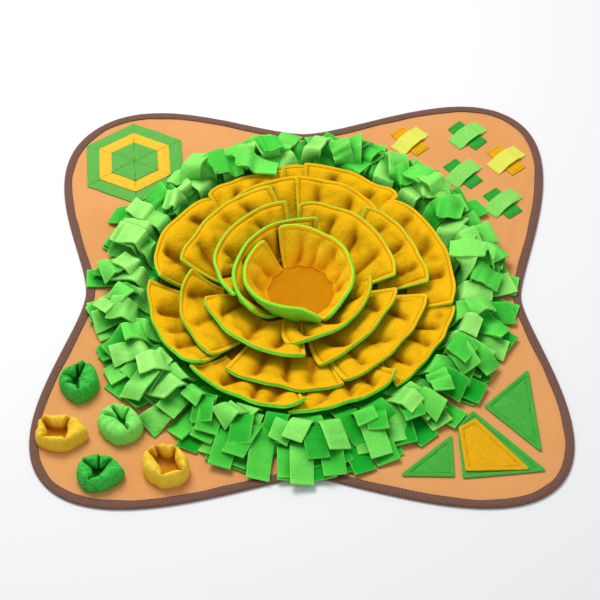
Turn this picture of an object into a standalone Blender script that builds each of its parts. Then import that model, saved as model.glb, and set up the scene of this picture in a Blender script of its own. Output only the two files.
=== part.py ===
"""Snuffle mat for a dog: a four-lobed quilted panel with a bound edge, a rosette of gathered petals
around a cup, a ring of cut strips, and four corners sewn with a hexagon, crosses, pouches and triangles.

The tables are in millimetres and degrees, in the mat's own frame: +Z up, the panel's underside at zero.
The rosette's tables are polar about the rosette's centre. All is built in metres.
"""

import math
import random

import bmesh
import bpy
import numpy as np
from mathutils import Vector

MM = 0.001

# ---------------------------------------------------------------- driving dimensions, in millimetres
SEAT = 0.3                      # between two pieces that touch
PANEL_THICK = 3.0
BINDING_WIDTH = 13.0            # how far the binding reaches in over the panel's edge
BINDING_THICK = 1.5
BINDING_ROUND = 0.8             # how far the binding's outer edge is rounded off
PRESSED_MARGIN = 1.0            # how far the panel is pressed thin beyond the binding's edge
FELT_THICK = 1.6
PETAL_THICK = 3.0
STRIP_THICK = 2.0
ROSETTE_CENTRE = (-3.6, -1.8)
CUP_FLOOR_RADIUS = 48.0
OUTLINE_STEPS = 9               # points on each of the outline's eight arcs

DECK = PANEL_THICK + SEAT       # the height at which a piece sewn to the panel starts

# The panel's outline runs through a waist and a lobe's tip in turn, square to the line from the centre.
# direction, distance from the centre, handle length
OUTLINE = (
    (-2.0, 296, 56), (46.0, 452, 112),
    (90.0, 297, 71), (135.5, 433, 121),
    (181.0, 297, 68), (224.5, 452, 111),
    (270.5, 302, 46), (315.0, 449, 106),
)

# Each petal is a gathered sheet that rises from a root seam to a free rim.
# name, pleats, root sections: (direction, radius), rim sections: (direction, radius, height)
PETALS = (
    ("petal_1a", 7, ((-64, 50), (118, 50)),
     ((-66, 84, 47), (-41, 76, 54), (-10, 71, 56), (25, 67, 57), (68, 68, 58), (95, 73, 59), (114, 78, 59))),
    ("petal_1b", 6, ((126, 50), (291, 50)),
     ((136, 70, 57), (169, 74, 55), (199, 78, 53), (225, 74, 55), (269, 70, 56), (281, 77, 53), (289, 85, 48))),
    ("petal_2a", 5, ((72, 62), (236, 62)),
     ((75, 94, 56), (91, 89, 55), (116, 87, 56), (145, 86, 56), (174, 89, 55), (200, 93, 52), (230, 92, 51))),
    ("petal_2b", 4, ((-118, 62), (-2, 62)),
     ((-98, 111, 31), (-76, 106, 40), (-53, 103, 43), (-32, 100, 46), (-4, 95, 50))),
    ("petal_3a", 4, ((98, 74), (178, 74)),
     ((99, 127, 52), (125, 124, 52), (150, 123, 50), (170, 120, 48), (182, 114, 53), (198, 106, 58),
      (211, 102, 60))),
    ("petal_3b", 4, ((2, 62), (25, 58), (56, 58), (72, 72), (95, 74)),
     ((0, 129, 38), (10, 130, 37), (27, 129, 41), (44, 128, 46), (61, 126, 49), (80, 124, 50), (92, 119, 50))),
    ("petal_3c", 3, ((-85, 82), (-55, 80), (-1, 76)),
     ((-80, 139, 17), (-71, 136, 25), (-54, 132, 33), (-27, 129, 38), (-7, 133, 31))),
    ("petal_3d", 4, ((181, 74), (228, 74), (245, 80), (272, 84)),
     ((193, 135, 28), (203, 133, 32), (230, 132, 34), (258, 131, 35), (273, 132, 33))),
    ("petal_4a", 4, ((98, 104), (174, 104)),
     ((105, 166, 44), (125, 165, 43), (140, 166, 40), (156, 164, 41), (163, 167, 38), (170, 169, 38))),
    ("petal_4b", 2, ((95, 126), (118, 126)),
     ((93, 178, 41), (103, 178, 39), (116, 176, 36), (124, 175, 32))),
    ("petal_4c", 3, ((55, 106), (92, 104)),
     ((48, 162, 34), (57, 170, 36), (65, 174, 39), (78, 175, 43), (91, 173, 47))),
    ("petal_4d", 4, ((-1, 104), (52, 104)),
     ((-3, 174, 35), (8, 169, 39), (24, 163, 41), (42, 160, 42), (53, 148, 48))),
    ("petal_4e", 4, ((-74, 104), (-4, 104)),
     ((-71, 174, 22), (-59, 173, 26), (-38, 171, 31), (-17, 172, 29), (-7, 174, 24))),
    ("petal_4f", 4, ((232, 106), (262, 109), (284, 121)),
     ((235, 175, 22), (250, 174, 23), (261, 174, 22), (272, 176, 19), (286, 176, 18))),
    ("petal_4g", 3, ((177, 104), (229, 104)),
     ((179, 147, 53), (186, 157, 49), (191, 165, 40), (200, 171, 32), (219, 172, 29), (227, 172, 29))),
    ("petal_5a", 3, ((134, 144), (179, 144)),
     ((133, 199, 33), (147, 204, 35), (158, 207, 35), (168, 205, 36), (177, 196, 44), (183, 190, 50))),
    ("petal_5b", 3, ((98, 144), (132, 144)),
     ((97, 203, 30), (106, 204, 30), (117, 206, 30), (125, 205, 29), (131, 201, 26))),
    ("petal_5c", 1, ((86, 165), (97, 165)),
     ((84, 213, 27), (91, 213, 28), (98, 212, 27))),
    ("petal_5d", 3, ((51, 144), (88, 144)),
     ((50, 207, 27), (57, 205, 28), (67, 207, 33), (78, 206, 37), (89, 207, 41))),
    ("petal_5e", 4, ((-9, 144), (49, 144)),
     ((-10, 208, 33), (0, 208, 30), (12, 207, 30), (25, 205, 30), (37, 202, 30), (48, 192, 33))),
    ("petal_5f", 4, ((-49, 148), (-11, 146)),
     ((-55, 214, 22), (-49, 213, 26), (-38, 212, 29), (-20, 212, 30), (-12, 213, 28))),
    ("petal_5g", 4, ((272, 161), (290, 158), (308, 148)),
     ((265, 215, 19), (270, 213, 25), (282, 212, 29), (296, 211, 32), (302, 209, 34), (308, 203, 43))),
    ("petal_5h", 4, ((228, 148), (250, 155), (269, 161)),
     ((225, 208, 36), (230, 208, 36), (240, 210, 32), (255, 210, 30), (263, 211, 30), (268, 208, 34),
      (272, 204, 42))),
    ("petal_5i", 4, ((182, 144), (225, 144)),
     ((182, 205, 41), (187, 207, 38), (195, 209, 35), (208, 210, 32), (220, 207, 38), (225, 204, 42),
      (229, 199, 47))),
)
PETAL_ROWS = 4
COLUMNS_A_PLEAT = 3
ROOT_FLAT = 0.3                 # share of a petal's reach that lies flat at its root
RIM_REACH = 0.25                # share of its reach over which the rim rises by the share below
RIM_RISE = 0.3
PLEAT_DEPTH = 8.0               # of a petal at least as broad and high as below, and less of a smaller one
PLEAT_FULL_WIDTH = 45.0
PLEAT_FULL_HEIGHT = 32.0
PLEAT_SINK = 0.35               # share of the depth that goes down into the pleats, the rest up

# The strips are sewn in rows to short curved backings that lie end to end around the rosette.
SECTORS = 10
BACKING_INNER = 197.0
BACKING_OUTER = 232.0
BACKING_THICK = 3.0
BACKING_END_GAP = 3.0
BACKING_STEPS = 8
STRIP_STATIONS = 5
STRIP_WIDTH = 30.0
STRIP_WIDTH_SPREAD = 1.5
STRIP_SEED = 22
# strips a sector, root radius, tip radius, its spread, height of the crest, height of the tip,
# most turn from straight out
STRIP_ROWS = (
    (4, 226, 286, 8, 4, 0, 16),
    (4, 218, 278, 12, 7, 2, 20),
    (3, 210, 268, 13, 12, 5, 24),
    (3, 202, 260, 14, 18, 9, 24),
)
STRIP_NECK = 7.0                # how far a strip runs straight out of its backing before it turns
STRIP_GAP = 2.5                 # the least between two roots of one row
STRIP_BACK_LIFT = 0.5           # how much higher the crests stand at the back, and lower at the front
STRIP_ROLL = 12.0               # the most that a strip's tip leans to one side
STRIP_CLEARANCE = 0.9           # between a strip and what it lies on
RIM_CLEARANCE = 8.0             # from a petal's rim down to the strip that comes out under it
UNDER_RIM = 220.0               # a crest nearer than this lies under the rims
RELIEF_CELL = 1.0
RELIEF_REACH = 360.0
RELIEF_MARGIN = 2.0             # around the pieces that the strips may lie on

HEXAGON_CENTRE = (-244.0, 240.0)
HEXAGON_TURN = 95.0             # direction of one corner
# name, distance from the centre to a corner
HEXAGONS = (("hexagon_outer", 75.0), ("hexagon_middle", 59.0), ("hexagon_inner", 37.5))

CROSS_LENGTH = 56.0
CROSS_WIDTH = 25.5
CROSS_CLEAR = 2.5               # from the lower strip's edge to where the upper strip starts down
CROSS_SLOPE = 6.0               # over which the upper strip comes down
# name, centre, direction of the upper strip, direction of the lower strip, colours of the two
CROSSES = (
    ("cross_1", (156, 282), 47, 131, "lemon", "amber"),
    ("cross_2", (241, 293), 42, 133, "lime", "leaf"),
    ("cross_3", (294, 244), 42, 128, "lemon", "amber"),
    ("cross_4", (230, 217), 47, 131, "lime", "leaf"),
    ("cross_5", (283, 160), 44, 127, "lime", "leaf"),
)

# name, centre, half width across and along, height, folds round it, their phase, colour
POUCHES = (
    ("pouch_1", (-294, -160), (25, 27), 27, 5, 0.4, "leaf"),
    ("pouch_2", (-311, -240), (32, 24), 25, 5, 1.3, "amber"),
    ("pouch_3", (-235, -227), (29, 27), 26, 6, 2.1, "green"),
    ("pouch_4", (-256, -301), (30, 24), 25, 5, 3.0, "leaf"),
    ("pouch_5", (-173, -292), (29, 28), 28, 6, 0.9, "amber"),
)
POUCH_COLUMNS = 18

# name, corners, whether it lies on another triangle, colour
TRIANGLES = (
    ("triangle_1", ((295, -136), (234, -194), (302, -266)), False, "green"),
    ("triangle_2", ((189, -239), (121, -301), (189, -302)), False, "green"),
    ("triangle_3", ((219, -202), (198, -222), (200, -304), (305, -293)), False, "green"),
    ("triangle_4", ((221, -215), (199, -228), (204, -294), (284, -292)), True, "amber"),
)

# base colour, roughness
COLOURS = {
    "tan": ((0.78, 0.45, 0.22), 0.85),
    "brown": ((0.14, 0.07, 0.05), 0.9),
    "amber": ((0.90, 0.48, 0.02), 0.95),
    "lemon": ((0.85, 0.80, 0.22), 0.95),
    "lime": ((0.30, 0.75, 0.14), 0.95),
    "green": ((0.12, 0.55, 0.10), 0.95),
    "leaf": ((0.04, 0.33, 0.06), 0.95),
}


# ---------------------------------------------------------------- helpers
def material(name):
    """The named fabric's material, made once."""
    found = bpy.data.materials.get(name)
    if found:
        return found
    colour, roughness = COLOURS[name]
    made = bpy.data.materials.new(name)
    made.use_nodes = True
    shader = made.node_tree.nodes["Principled BSDF"]
    shader.inputs["Base Color"].default_value = (*colour, 1.0)
    shader.inputs["Roughness"].default_value = roughness
    shader.inputs["Metallic"].default_value = 0.0
    return made


def mesh_object(name, points, faces, colour):
    """An object from points in millimetres, under the mat's empty, with its faces pointing out."""
    mesh = bpy.data.meshes.new(name)
    mesh.from_pydata([Vector(point) * MM for point in points], [], faces)
    shape = bmesh.new()
    shape.from_mesh(mesh)
    bmesh.ops.recalc_face_normals(shape, faces=shape.faces)
    shape.to_mesh(mesh)
    shape.free()
    mesh.materials.append(material(colour))
    made = bpy.data.objects.new(name, mesh)
    COLLECTION.objects.link(made)
    made.parent = MAT
    return made


def grid_faces(columns, rows, closed=False):
    """Quads of a grid whose points run along a row first; closed joins each row's ends."""
    faces = []
    for row in range(rows - 1):
        for column in range(columns if closed else columns - 1):
            after = (column + 1) % columns
            faces.append((row * columns + column, row * columns + after,
                          (row + 1) * columns + after, (row + 1) * columns + column))
    return faces


def solidify(target, thickness, offset=0.0):
    """Gives an open sheet its thickness."""
    modifier = target.modifiers.new("thickness", "SOLIDIFY")
    modifier.thickness = thickness * MM
    modifier.offset = offset
    modifier.use_even_offset = False


def smooth_through(stations, values, at):
    """Values at the given places on a curve that passes through the stations without overshoot."""
    stations = np.asarray(stations, float)
    values = np.asarray(values, float)
    slopes = np.diff(values) / np.diff(stations)
    tangents = np.zeros(len(values))
    tangents[0], tangents[-1] = slopes[0], slopes[-1]
    for index in range(1, len(values) - 1):
        before, after = slopes[index - 1], slopes[index]
        if before * after > 0:
            tangents[index] = 2 * before * after / (before + after)
    span = np.clip(np.searchsorted(stations, at) - 1, 0, len(slopes) - 1)
    length = stations[span + 1] - stations[span]
    t = (np.asarray(at, float) - stations[span]) / length
    return ((1 + 2 * t) * (1 - t) ** 2 * values[span] + t * (1 - t) ** 2 * length * tangents[span]
            + t * t * (3 - 2 * t) * values[span + 1] + t * t * (t - 1) * length * tangents[span + 1])


def polar(radius, direction):
    """The point at a radius and a direction in degrees from the rosette's centre."""
    angle = math.radians(direction)
    return (ROSETTE_CENTRE[0] + radius * math.cos(angle), ROSETTE_CENTRE[1] + radius * math.sin(angle))


# ---------------------------------------------------------------- panel and binding
def outline_points(inset=0.0):
    """The panel's outline, moved inwards by the inset."""
    points = []
    for start, end in zip(OUTLINE, OUTLINE[1:] + OUTLINE[:1]):
        corners = []
        for (direction, distance, handle), side in ((start, 1.0), (end, -1.0)):
            angle = math.radians(direction)
            out = np.array((math.cos(angle), math.sin(angle)))
            along = np.array((-math.sin(angle), math.cos(angle)))
            corners.append((distance * out, distance * out + side * handle * along))
        (p0, p1), (p3, p2) = corners
        for step in range(OUTLINE_STEPS):
            t = step / OUTLINE_STEPS
            points.append((1 - t) ** 3 * p0 + 3 * t * (1 - t) ** 2 * p1
                          + 3 * t * t * (1 - t) * p2 + t ** 3 * p3)
    points = np.array(points)
    run = np.roll(points, -1, axis=0) - np.roll(points, 1, axis=0)
    run /= np.linalg.norm(run, axis=1)[:, None]
    return points + inset * np.stack((-run[:, 1], run[:, 0]), axis=1)


def rim_solid(name, section, colour, capped):
    """A solid whose section of (inset, height) runs round the outline; capped fills its two ends."""
    rings = [outline_points(inset) for inset, _ in section]
    count = len(rings[0])
    points = [(x, y, height) for ring, (_, height) in zip(rings, section) for x, y in ring]
    faces = grid_faces(count, len(section), closed=True)
    last = (len(section) - 1) * count
    if capped:
        faces.append(tuple(range(count)))
        faces.append(tuple(range(last, last + count)))
    else:
        faces.extend((last + i, last + (i + 1) % count, (i + 1) % count, i) for i in range(count))
    return mesh_object(name, points, faces, colour)


def build_panel():
    """The quilted panel, pressed thin where the binding grips its edge."""
    edge = BINDING_THICK + SEAT
    inner = BINDING_WIDTH + PRESSED_MARGIN
    return rim_solid("panel", ((inner, 0.0), (inner, edge), (edge, edge), (edge, PANEL_THICK)),
                     "tan", capped=True)


def build_binding():
    """The brown tape, folded over the panel's edge from below to above."""
    top = DECK + BINDING_THICK
    inside = BINDING_THICK
    section = ((BINDING_WIDTH, 0.0), (BINDING_ROUND, 0.0), (0.0, top / 2), (BINDING_ROUND, top),
               (BINDING_WIDTH, top),
               (BINDING_WIDTH, DECK), (inside, DECK), (inside, BINDING_THICK),
               (BINDING_WIDTH, BINDING_THICK))
    return rim_solid("binding", section, "brown", capped=False)


# ---------------------------------------------------------------- rosette
def build_cup_floor():
    """The round felt floor of the cup."""
    bpy.ops.mesh.primitive_cylinder_add(vertices=32, radius=CUP_FLOOR_RADIUS * MM, depth=FELT_THICK * MM)
    disc = bpy.context.object
    disc.name = "cup_floor"
    disc.data.materials.append(material("amber"))
    for collection in disc.users_collection:
        collection.objects.unlink(disc)
    COLLECTION.objects.link(disc)
    disc.parent = MAT
    disc.location = (ROSETTE_CENTRE[0] * MM, ROSETTE_CENTRE[1] * MM, (DECK + FELT_THICK / 2) * MM)
    return disc


def petal_section(root, rim, height, t):
    """Radius and height at the share t of the way up a petal that leaves the panel flat."""
    base = DECK + PETAL_THICK / 2
    reach, rise = rim - root, height - base
    radii = (root, root + ROOT_FLAT * reach, rim - RIM_REACH * reach, rim)
    heights = (base, base, height - RIM_RISE * rise, height)
    weights = ((1 - t) ** 3, 3 * t * (1 - t) ** 2, 3 * t * t * (1 - t), t ** 3)
    return (sum(w * r for w, r in zip(weights, radii)), sum(w * h for w, h in zip(weights, heights)))


def build_petal(name, pleats, root, rim):
    """One petal: a sheet with soft pillows between the pleats that gather its root."""
    columns = pleats * COLUMNS_A_PLEAT + 1
    root_directions, root_radii = zip(*root)
    directions, radii, heights = zip(*rim)
    root_across = np.linspace(root_directions[0], root_directions[-1], columns)
    across = np.linspace(directions[0], directions[-1], columns)
    root_radius = smooth_through(root_directions, root_radii, root_across)
    rim_radius = smooth_through(directions, radii, across)
    rim_height = smooth_through(directions, heights, across)
    points = np.zeros((PETAL_ROWS + 1, columns, 3))
    for row in range(PETAL_ROWS + 1):
        t = row / PETAL_ROWS
        for column in range(columns):
            radius, height = petal_section(root_radius[column], rim_radius[column], rim_height[column], t)
            direction = (1 - t) * root_across[column] + t * across[column]
            points[row, column] = (*polar(radius, direction), height)
    normals = np.cross(np.gradient(points, axis=1), np.gradient(points, axis=0))
    normals /= np.linalg.norm(normals, axis=2)[:, :, None]
    normals *= np.sign(normals[:, :, 2].sum())
    depth = PLEAT_DEPTH * min(1.0, (rim_radius - root_radius).mean() / PLEAT_FULL_WIDTH,
                              rim_height.mean() / PLEAT_FULL_HEIGHT)
    for row in range(1, PETAL_ROWS):
        swell = math.sin(math.pi * (row / PETAL_ROWS) ** 0.8)
        for column in range(columns):
            pillow = abs(math.sin(math.pi * column / COLUMNS_A_PLEAT)) - PLEAT_SINK
            points[row, column] += normals[row, column] * depth * swell * pillow
    points[:, :, 2] = np.maximum(points[:, :, 2], DECK + PETAL_THICK / 2)
    petal = mesh_object(name, points.reshape(-1, 3), grid_faces(columns, PETAL_ROWS + 1), "amber")
    solidify(petal, PETAL_THICK)
    return petal


# ---------------------------------------------------------------- strips
class Relief:
    """A height map of what lies on the panel so far, on which each new strip is laid."""

    def __init__(self):
        self.count = int(2 * RELIEF_REACH / RELIEF_CELL) + 1
        self.heights = np.zeros((self.count, self.count))
        steps = np.arange(self.count) * RELIEF_CELL - RELIEF_REACH
        self.x, self.y = np.meshgrid(steps, steps, indexing="ij")

    def cells(self, points):
        """Index pairs of the cells that hold the points."""
        index = np.rint((points[..., :2] + RELIEF_REACH) / RELIEF_CELL).astype(int)
        index = np.clip(index, 1, self.count - 2)
        return index[..., 0], index[..., 1]

    def below(self, points):
        """The highest thing in the cells at and around each point."""
        column, row = self.cells(points)
        return np.max([self.heights[column + i, row + j] for i in (-1, 0, 1) for j in (-1, 0, 1)], axis=0)

    def add(self, points):
        """Raises the map to the points' heights."""
        column, row = self.cells(points)
        np.maximum.at(self.heights, (column, row), points[..., 2])

    def add_where(self, mask, height):
        """Raises the masked cells to one height."""
        self.heights[mask] = np.maximum(self.heights[mask], height)

    def add_polygon(self, corners, height):
        """Raises the cells inside a polygon."""
        inside = np.zeros_like(self.x, dtype=bool)
        corners = np.asarray(corners, float)
        for (x0, y0), (x1, y1) in zip(corners, np.roll(corners, -1, axis=0)):
            crosses = (y0 > self.y) != (y1 > self.y)
            with np.errstate(divide="ignore", invalid="ignore"):
                inside ^= crosses & (self.x < (x1 - x0) * (self.y - y0) / (y1 - y0) + x0)
        self.add_where(inside, height)


def corner_relief():
    """The relief of the panel, its binding and the pieces that the strips' tips can reach."""
    relief = Relief()
    relief.add_polygon(outline_points(-1.0), DECK + BINDING_THICK)
    inside = Relief()
    inside.add_polygon(outline_points(BINDING_WIDTH + RELIEF_MARGIN), 1.0)
    relief.heights[inside.heights > 0] = PANEL_THICK
    from_rosette = np.hypot(relief.x - ROSETTE_CENTRE[0], relief.y - ROSETTE_CENTRE[1])
    relief.add_where((from_rosette > BACKING_INNER) & (from_rosette < BACKING_OUTER), DECK + BACKING_THICK)
    layer = FELT_THICK + SEAT
    from_hexagon = np.hypot(relief.x - HEXAGON_CENTRE[0], relief.y - HEXAGON_CENTRE[1])
    for count, (_, reach) in enumerate(HEXAGONS):
        relief.add_where(from_hexagon < reach + RELIEF_MARGIN, DECK + (count + 1) * layer)
    for _, (x, y), *_ in CROSSES:
        near = np.hypot(relief.x - x, relief.y - y) < CROSS_LENGTH / 2 + 2 * RELIEF_MARGIN
        relief.add_where(near, DECK + 2 * layer)
    for _, corners, raised, _ in TRIANGLES:
        relief.add_polygon(corners, DECK + (2 if raised else 1) * layer)
    for _, (x, y), (half_x, half_y), height, *_ in POUCHES:
        near = np.hypot((relief.x - x) / (half_x + RELIEF_MARGIN), (relief.y - y) / (half_y + RELIEF_MARGIN))
        relief.add_where(near < 1, height + DECK)
    return relief


def lowest_rim(direction):
    """The lowest rim height of the outer petals near a direction."""
    found = [30.0]
    for name, _, _, rim in PETALS:
        if not name.startswith("petal_5"):
            continue
        directions, _, heights = zip(*rim)
        for turn in (-360, 0, 360):
            near = direction + turn + np.array((-6.0, -3.0, 0.0, 3.0, 6.0))
            near = near[(near >= directions[0]) & (near <= directions[-1])]
            if len(near):
                found.append(float(smooth_through(directions, heights, near).min()))
    return min(found)


class Strip:
    """One strip of fleece: straight out of its backing as far as its neck, then on at its own heading."""

    def __init__(self, row, width, direction, rng):
        _, root, tip, tip_spread, crest_height, tip_height, turn = row
        out = np.array((math.cos(math.radians(direction)), math.sin(math.radians(direction))))
        heading = math.radians(direction + rng.uniform(-turn, turn))
        onward = np.array((math.cos(heading), math.sin(heading)))
        length = tip + rng.uniform(-tip_spread, tip_spread) - root
        crest = STRIP_NECK + rng.uniform(0.25, 0.45) * (length - STRIP_NECK)
        self.width = width
        self.along = np.array((0.0, STRIP_NECK, crest, 0.5 * (crest + length), length))
        past_neck = np.maximum(self.along - STRIP_NECK, 0.0)[:, None]
        self.centres = (np.array(polar(root, direction)) + np.minimum(self.along, STRIP_NECK)[:, None] * out
                        + past_neck * onward)
        self.sides = np.array([(-out[1], out[0])] * 2 + [(-onward[1], onward[0])] * 3)
        lift = 1.0 + STRIP_BACK_LIFT * math.sin(math.radians(direction))
        low = DECK + STRIP_THICK / 2 + STRIP_CLEARANCE
        neck = low + BACKING_THICK
        peak = max(neck, low + crest_height * lift * rng.uniform(0.7, 1.25))
        tip_rest = low + tip_height * lift * rng.uniform(0.0, 1.6)
        if root + crest < UNDER_RIM:
            peak = min(peak, lowest_rim(direction) - RIM_CLEARANCE)
        fall = rng.uniform(0.35, 0.65)
        self.heights = np.array((DECK + BACKING_THICK / 2, neck, peak,
                                 fall * peak + (1 - fall) * tip_rest, tip_rest))
        lean = math.tan(math.radians(rng.uniform(-STRIP_ROLL, STRIP_ROLL)))
        self.leans = lean * np.array((0.0, 0.0, 0.4, 0.8, 1.0))

    def surface(self, steps_along, steps_across):
        """Distances from the root, and points on the middle surface."""
        along = np.linspace(0.0, self.along[-1], steps_along)
        centre_x, centre_y, side_x, side_y, height, lean = (
            np.interp(along, self.along, values)[:, None]
            for values in (*self.centres.T, *self.sides.T, self.heights, self.leans))
        across = np.linspace(-self.width / 2, self.width / 2, steps_across)[None, :]
        return along, np.dstack((centre_x + side_x * across, centre_y + side_y * across,
                                 height + lean * across))

    def settle(self, relief):
        """Lifts the strip's stations, the worst place first, until it clears what is below it."""
        room = STRIP_THICK / 2 + STRIP_CLEARANCE
        for _ in range(60):
            along, points = self.surface(61, 16)
            lack = (relief.below(points) + room - points[..., 2]).max(axis=1)
            lack[along < STRIP_NECK] = 0.0
            worst = int(np.argmax(lack))
            if lack[worst] <= 0.05:
                break
            span = min(int(np.searchsorted(self.along, along[worst], side="right")) - 1, STRIP_STATIONS - 2)
            share = (along[worst] - self.along[span]) / (self.along[span + 1] - self.along[span])
            whole = (1 - share) ** 2 + share ** 2
            self.heights[span] += lack[worst] * (1 - share) / whole
            self.heights[span + 1] += lack[worst] * share / whole
        _, points = self.surface(141, 41)
        points[..., 2] += STRIP_THICK / 2
        relief.add(points)

    def solid(self):
        """Points and faces of the closed strip, four-sided, one section at each station."""
        points = []
        for (x, y), (side_x, side_y), height, lean in zip(self.centres, self.sides, self.heights, self.leans):
            for across, up in ((-0.5, -1), (0.5, -1), (0.5, 1), (-0.5, 1)):
                offset = across * self.width
                points.append((x + side_x * offset, y + side_y * offset,
                               height + lean * offset + up * STRIP_THICK / 2))
        last = len(points) - 4
        faces = grid_faces(4, STRIP_STATIONS, closed=True) + [(3, 2, 1, 0)]
        faces.append((last, last + 1, last + 2, last + 3))
        return points, faces


def spread_strips(row, rng):
    """Widths and directions of the strips of one row in a sector, with uneven gaps between them."""
    count, radius = row[:2]
    widths = [STRIP_WIDTH + rng.uniform(-STRIP_WIDTH_SPREAD, STRIP_WIDTH_SPREAD) for _ in range(count)]
    length = math.radians(360.0 / SECTORS) * radius
    free = length - sum(widths) - BACKING_END_GAP - STRIP_GAP * count
    cuts = [0.0] + sorted(rng.uniform(0.0, free) for _ in range(count))
    place = (BACKING_END_GAP + STRIP_GAP) / 2
    spread = []
    for index, width in enumerate(widths):
        place += cuts[index + 1] - cuts[index] + width / 2
        spread.append((width, math.degrees(place / radius)))
        place += width / 2 + STRIP_GAP
    return spread


def lay_strips():
    """All the strips, laid row by row from the lowest, as a list for each sector."""
    rng = random.Random(STRIP_SEED)
    relief = corner_relief()
    sectors = [[] for _ in range(SECTORS)]
    for row in STRIP_ROWS:
        places = []
        for sector in range(SECTORS):
            for width, direction in spread_strips(row, rng):
                places.append((rng.random(), sector, width, sector * 360.0 / SECTORS + direction))
        for _, sector, width, direction in sorted(places):
            strip = Strip(row, width, direction, rng)
            strip.settle(relief)
            sectors[sector].append(strip)
    return sectors


def build_backing(name, sector):
    """The curved backing of one sector, as a plain solid."""
    turn = 360.0 / SECTORS
    points = []
    for radius, height in ((BACKING_INNER, 0), (BACKING_OUTER, 0), (BACKING_OUTER, 1), (BACKING_INNER, 1)):
        trim = math.degrees(BACKING_END_GAP / 2 / radius)
        for step in range(BACKING_STEPS + 1):
            direction = sector * turn + trim + (turn - 2 * trim) * step / BACKING_STEPS
            points.append((*polar(radius, direction), DECK + height * BACKING_THICK))
    count = BACKING_STEPS + 1
    faces = grid_faces(count, 4)
    faces.extend((3 * count + i, 3 * count + i + 1, i + 1, i) for i in range(BACKING_STEPS))
    faces.append((0, count, 2 * count, 3 * count))
    faces.append((count - 1, 4 * count - 1, 3 * count - 1, 2 * count - 1))
    return mesh_object(name, points, faces, "green")


def build_fringe(sector, strips):
    """One backing with its strips' roots fused into it."""
    backing = build_backing(f"fringe_{sector + 1:02d}", sector)
    points, faces = [], []
    for strip in strips:
        own_points, own_faces = strip.solid()
        faces.extend(tuple(index + len(points) for index in face) for face in own_faces)
        points.extend(own_points)
    loose = mesh_object(backing.name + "_strips", points, faces, "green")
    CUTTERS.objects.link(loose)
    COLLECTION.objects.unlink(loose)
    loose.hide_render = True
    loose.display_type = "WIRE"
    union = backing.modifiers.new("strips", "BOOLEAN")
    union.operation = "UNION"
    union.object = loose
    return backing


# ---------------------------------------------------------------- corners
def build_flat_piece(name, corners, base, colour):
    """A flat cut piece of felt that lies on the given height."""
    points = [(x, y, base) for x, y in corners]
    piece = mesh_object(name, points, [tuple(range(len(points)))], colour)
    if piece.data.polygons[0].normal.z < 0:
        piece.data.flip_normals()
    solidify(piece, FELT_THICK, offset=1.0)
    return piece


def build_hexagons():
    """Three felt hexagons, each smaller one on the last."""
    for layer, (name, reach) in enumerate(HEXAGONS):
        corners = []
        for side in range(6):
            angle = math.radians(HEXAGON_TURN + 60 * side)
            corners.append((HEXAGON_CENTRE[0] + reach * math.cos(angle),
                            HEXAGON_CENTRE[1] + reach * math.sin(angle)))
        base = DECK + layer * (FELT_THICK + SEAT)
        build_flat_piece(name, corners, base, "amber" if layer == 1 else "green")


def build_cross_strip(name, centre, direction, raised, colour):
    """One strip of a cross; a raised one climbs over the strip below it and comes down at both ends."""
    lift = FELT_THICK + SEAT if raised else 0.0
    half = CROSS_LENGTH / 2
    crossing = CROSS_WIDTH / 2 + CROSS_CLEAR
    angle = math.radians(direction)
    out = np.array((math.cos(angle), math.sin(angle)))
    side = np.array((-out[1], out[0]))
    points = []
    for across in (-0.5, 0.5):
        for along, height in ((-half, 0.0), (-crossing - CROSS_SLOPE, 0.0), (-crossing, lift),
                              (crossing, lift), (crossing + CROSS_SLOPE, 0.0), (half, 0.0)):
            x, y = np.array(centre) + along * out + across * CROSS_WIDTH * side
            points.append((x, y, DECK + FELT_THICK / 2 + height))
    strip = mesh_object(name, points, grid_faces(6, 2), colour)
    solidify(strip, FELT_THICK)
    return strip


def build_crosses():
    """Five crosses of two felt strips each."""
    for name, centre, upper, lower, upper_colour, lower_colour in CROSSES:
        build_cross_strip(name + "_lower", centre, lower, False, lower_colour)
        build_cross_strip(name + "_upper", centre, upper, True, upper_colour)


def build_triangles():
    """The felt triangles of one corner, the last a pocket that lies on its neighbour."""
    for name, corners, raised, colour in TRIANGLES:
        base = DECK + (FELT_THICK + SEAT if raised else 0.0)
        build_flat_piece(name, corners, base, colour)


def build_pouch(name, centre, half_size, height, folds, phase, colour):
    """A gathered fleece pouch whose mouth is rolled inwards."""
    # share of the half width, share of the height, share of the folds' depth
    section = ((0.78, 0.0, 0.3), (0.98, 0.28, 0.7), (1.0, 0.62, 1.0), (0.86, 0.96, 1.2),
               (0.70, 1.0, 1.5), (0.52, 0.86, 2.2), (0.44, 0.5, 1.8), (0.36, 0.18, 0.6))
    points = []
    for share, rise, fold in section:
        for column in range(POUCH_COLUMNS):
            angle = 2 * math.pi * column / POUCH_COLUMNS
            ripple = 0.045 * math.cos(folds * angle + phase) + 0.03 * math.cos(2 * angle + 2 * phase)
            reach = share + fold * ripple
            sway = 0.06 * math.sin(3 * angle + phase) * rise
            points.append((centre[0] + half_size[0] * reach * math.cos(angle),
                           centre[1] + half_size[1] * reach * math.sin(angle),
                           DECK + height * (rise + sway)))
    faces = grid_faces(POUCH_COLUMNS, len(section), closed=True)
    last = (len(section) - 1) * POUCH_COLUMNS
    faces.append(tuple(range(POUCH_COLUMNS)))
    faces.append(tuple(range(last, last + POUCH_COLUMNS)))
    return mesh_object(name, points, faces, colour)


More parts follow.
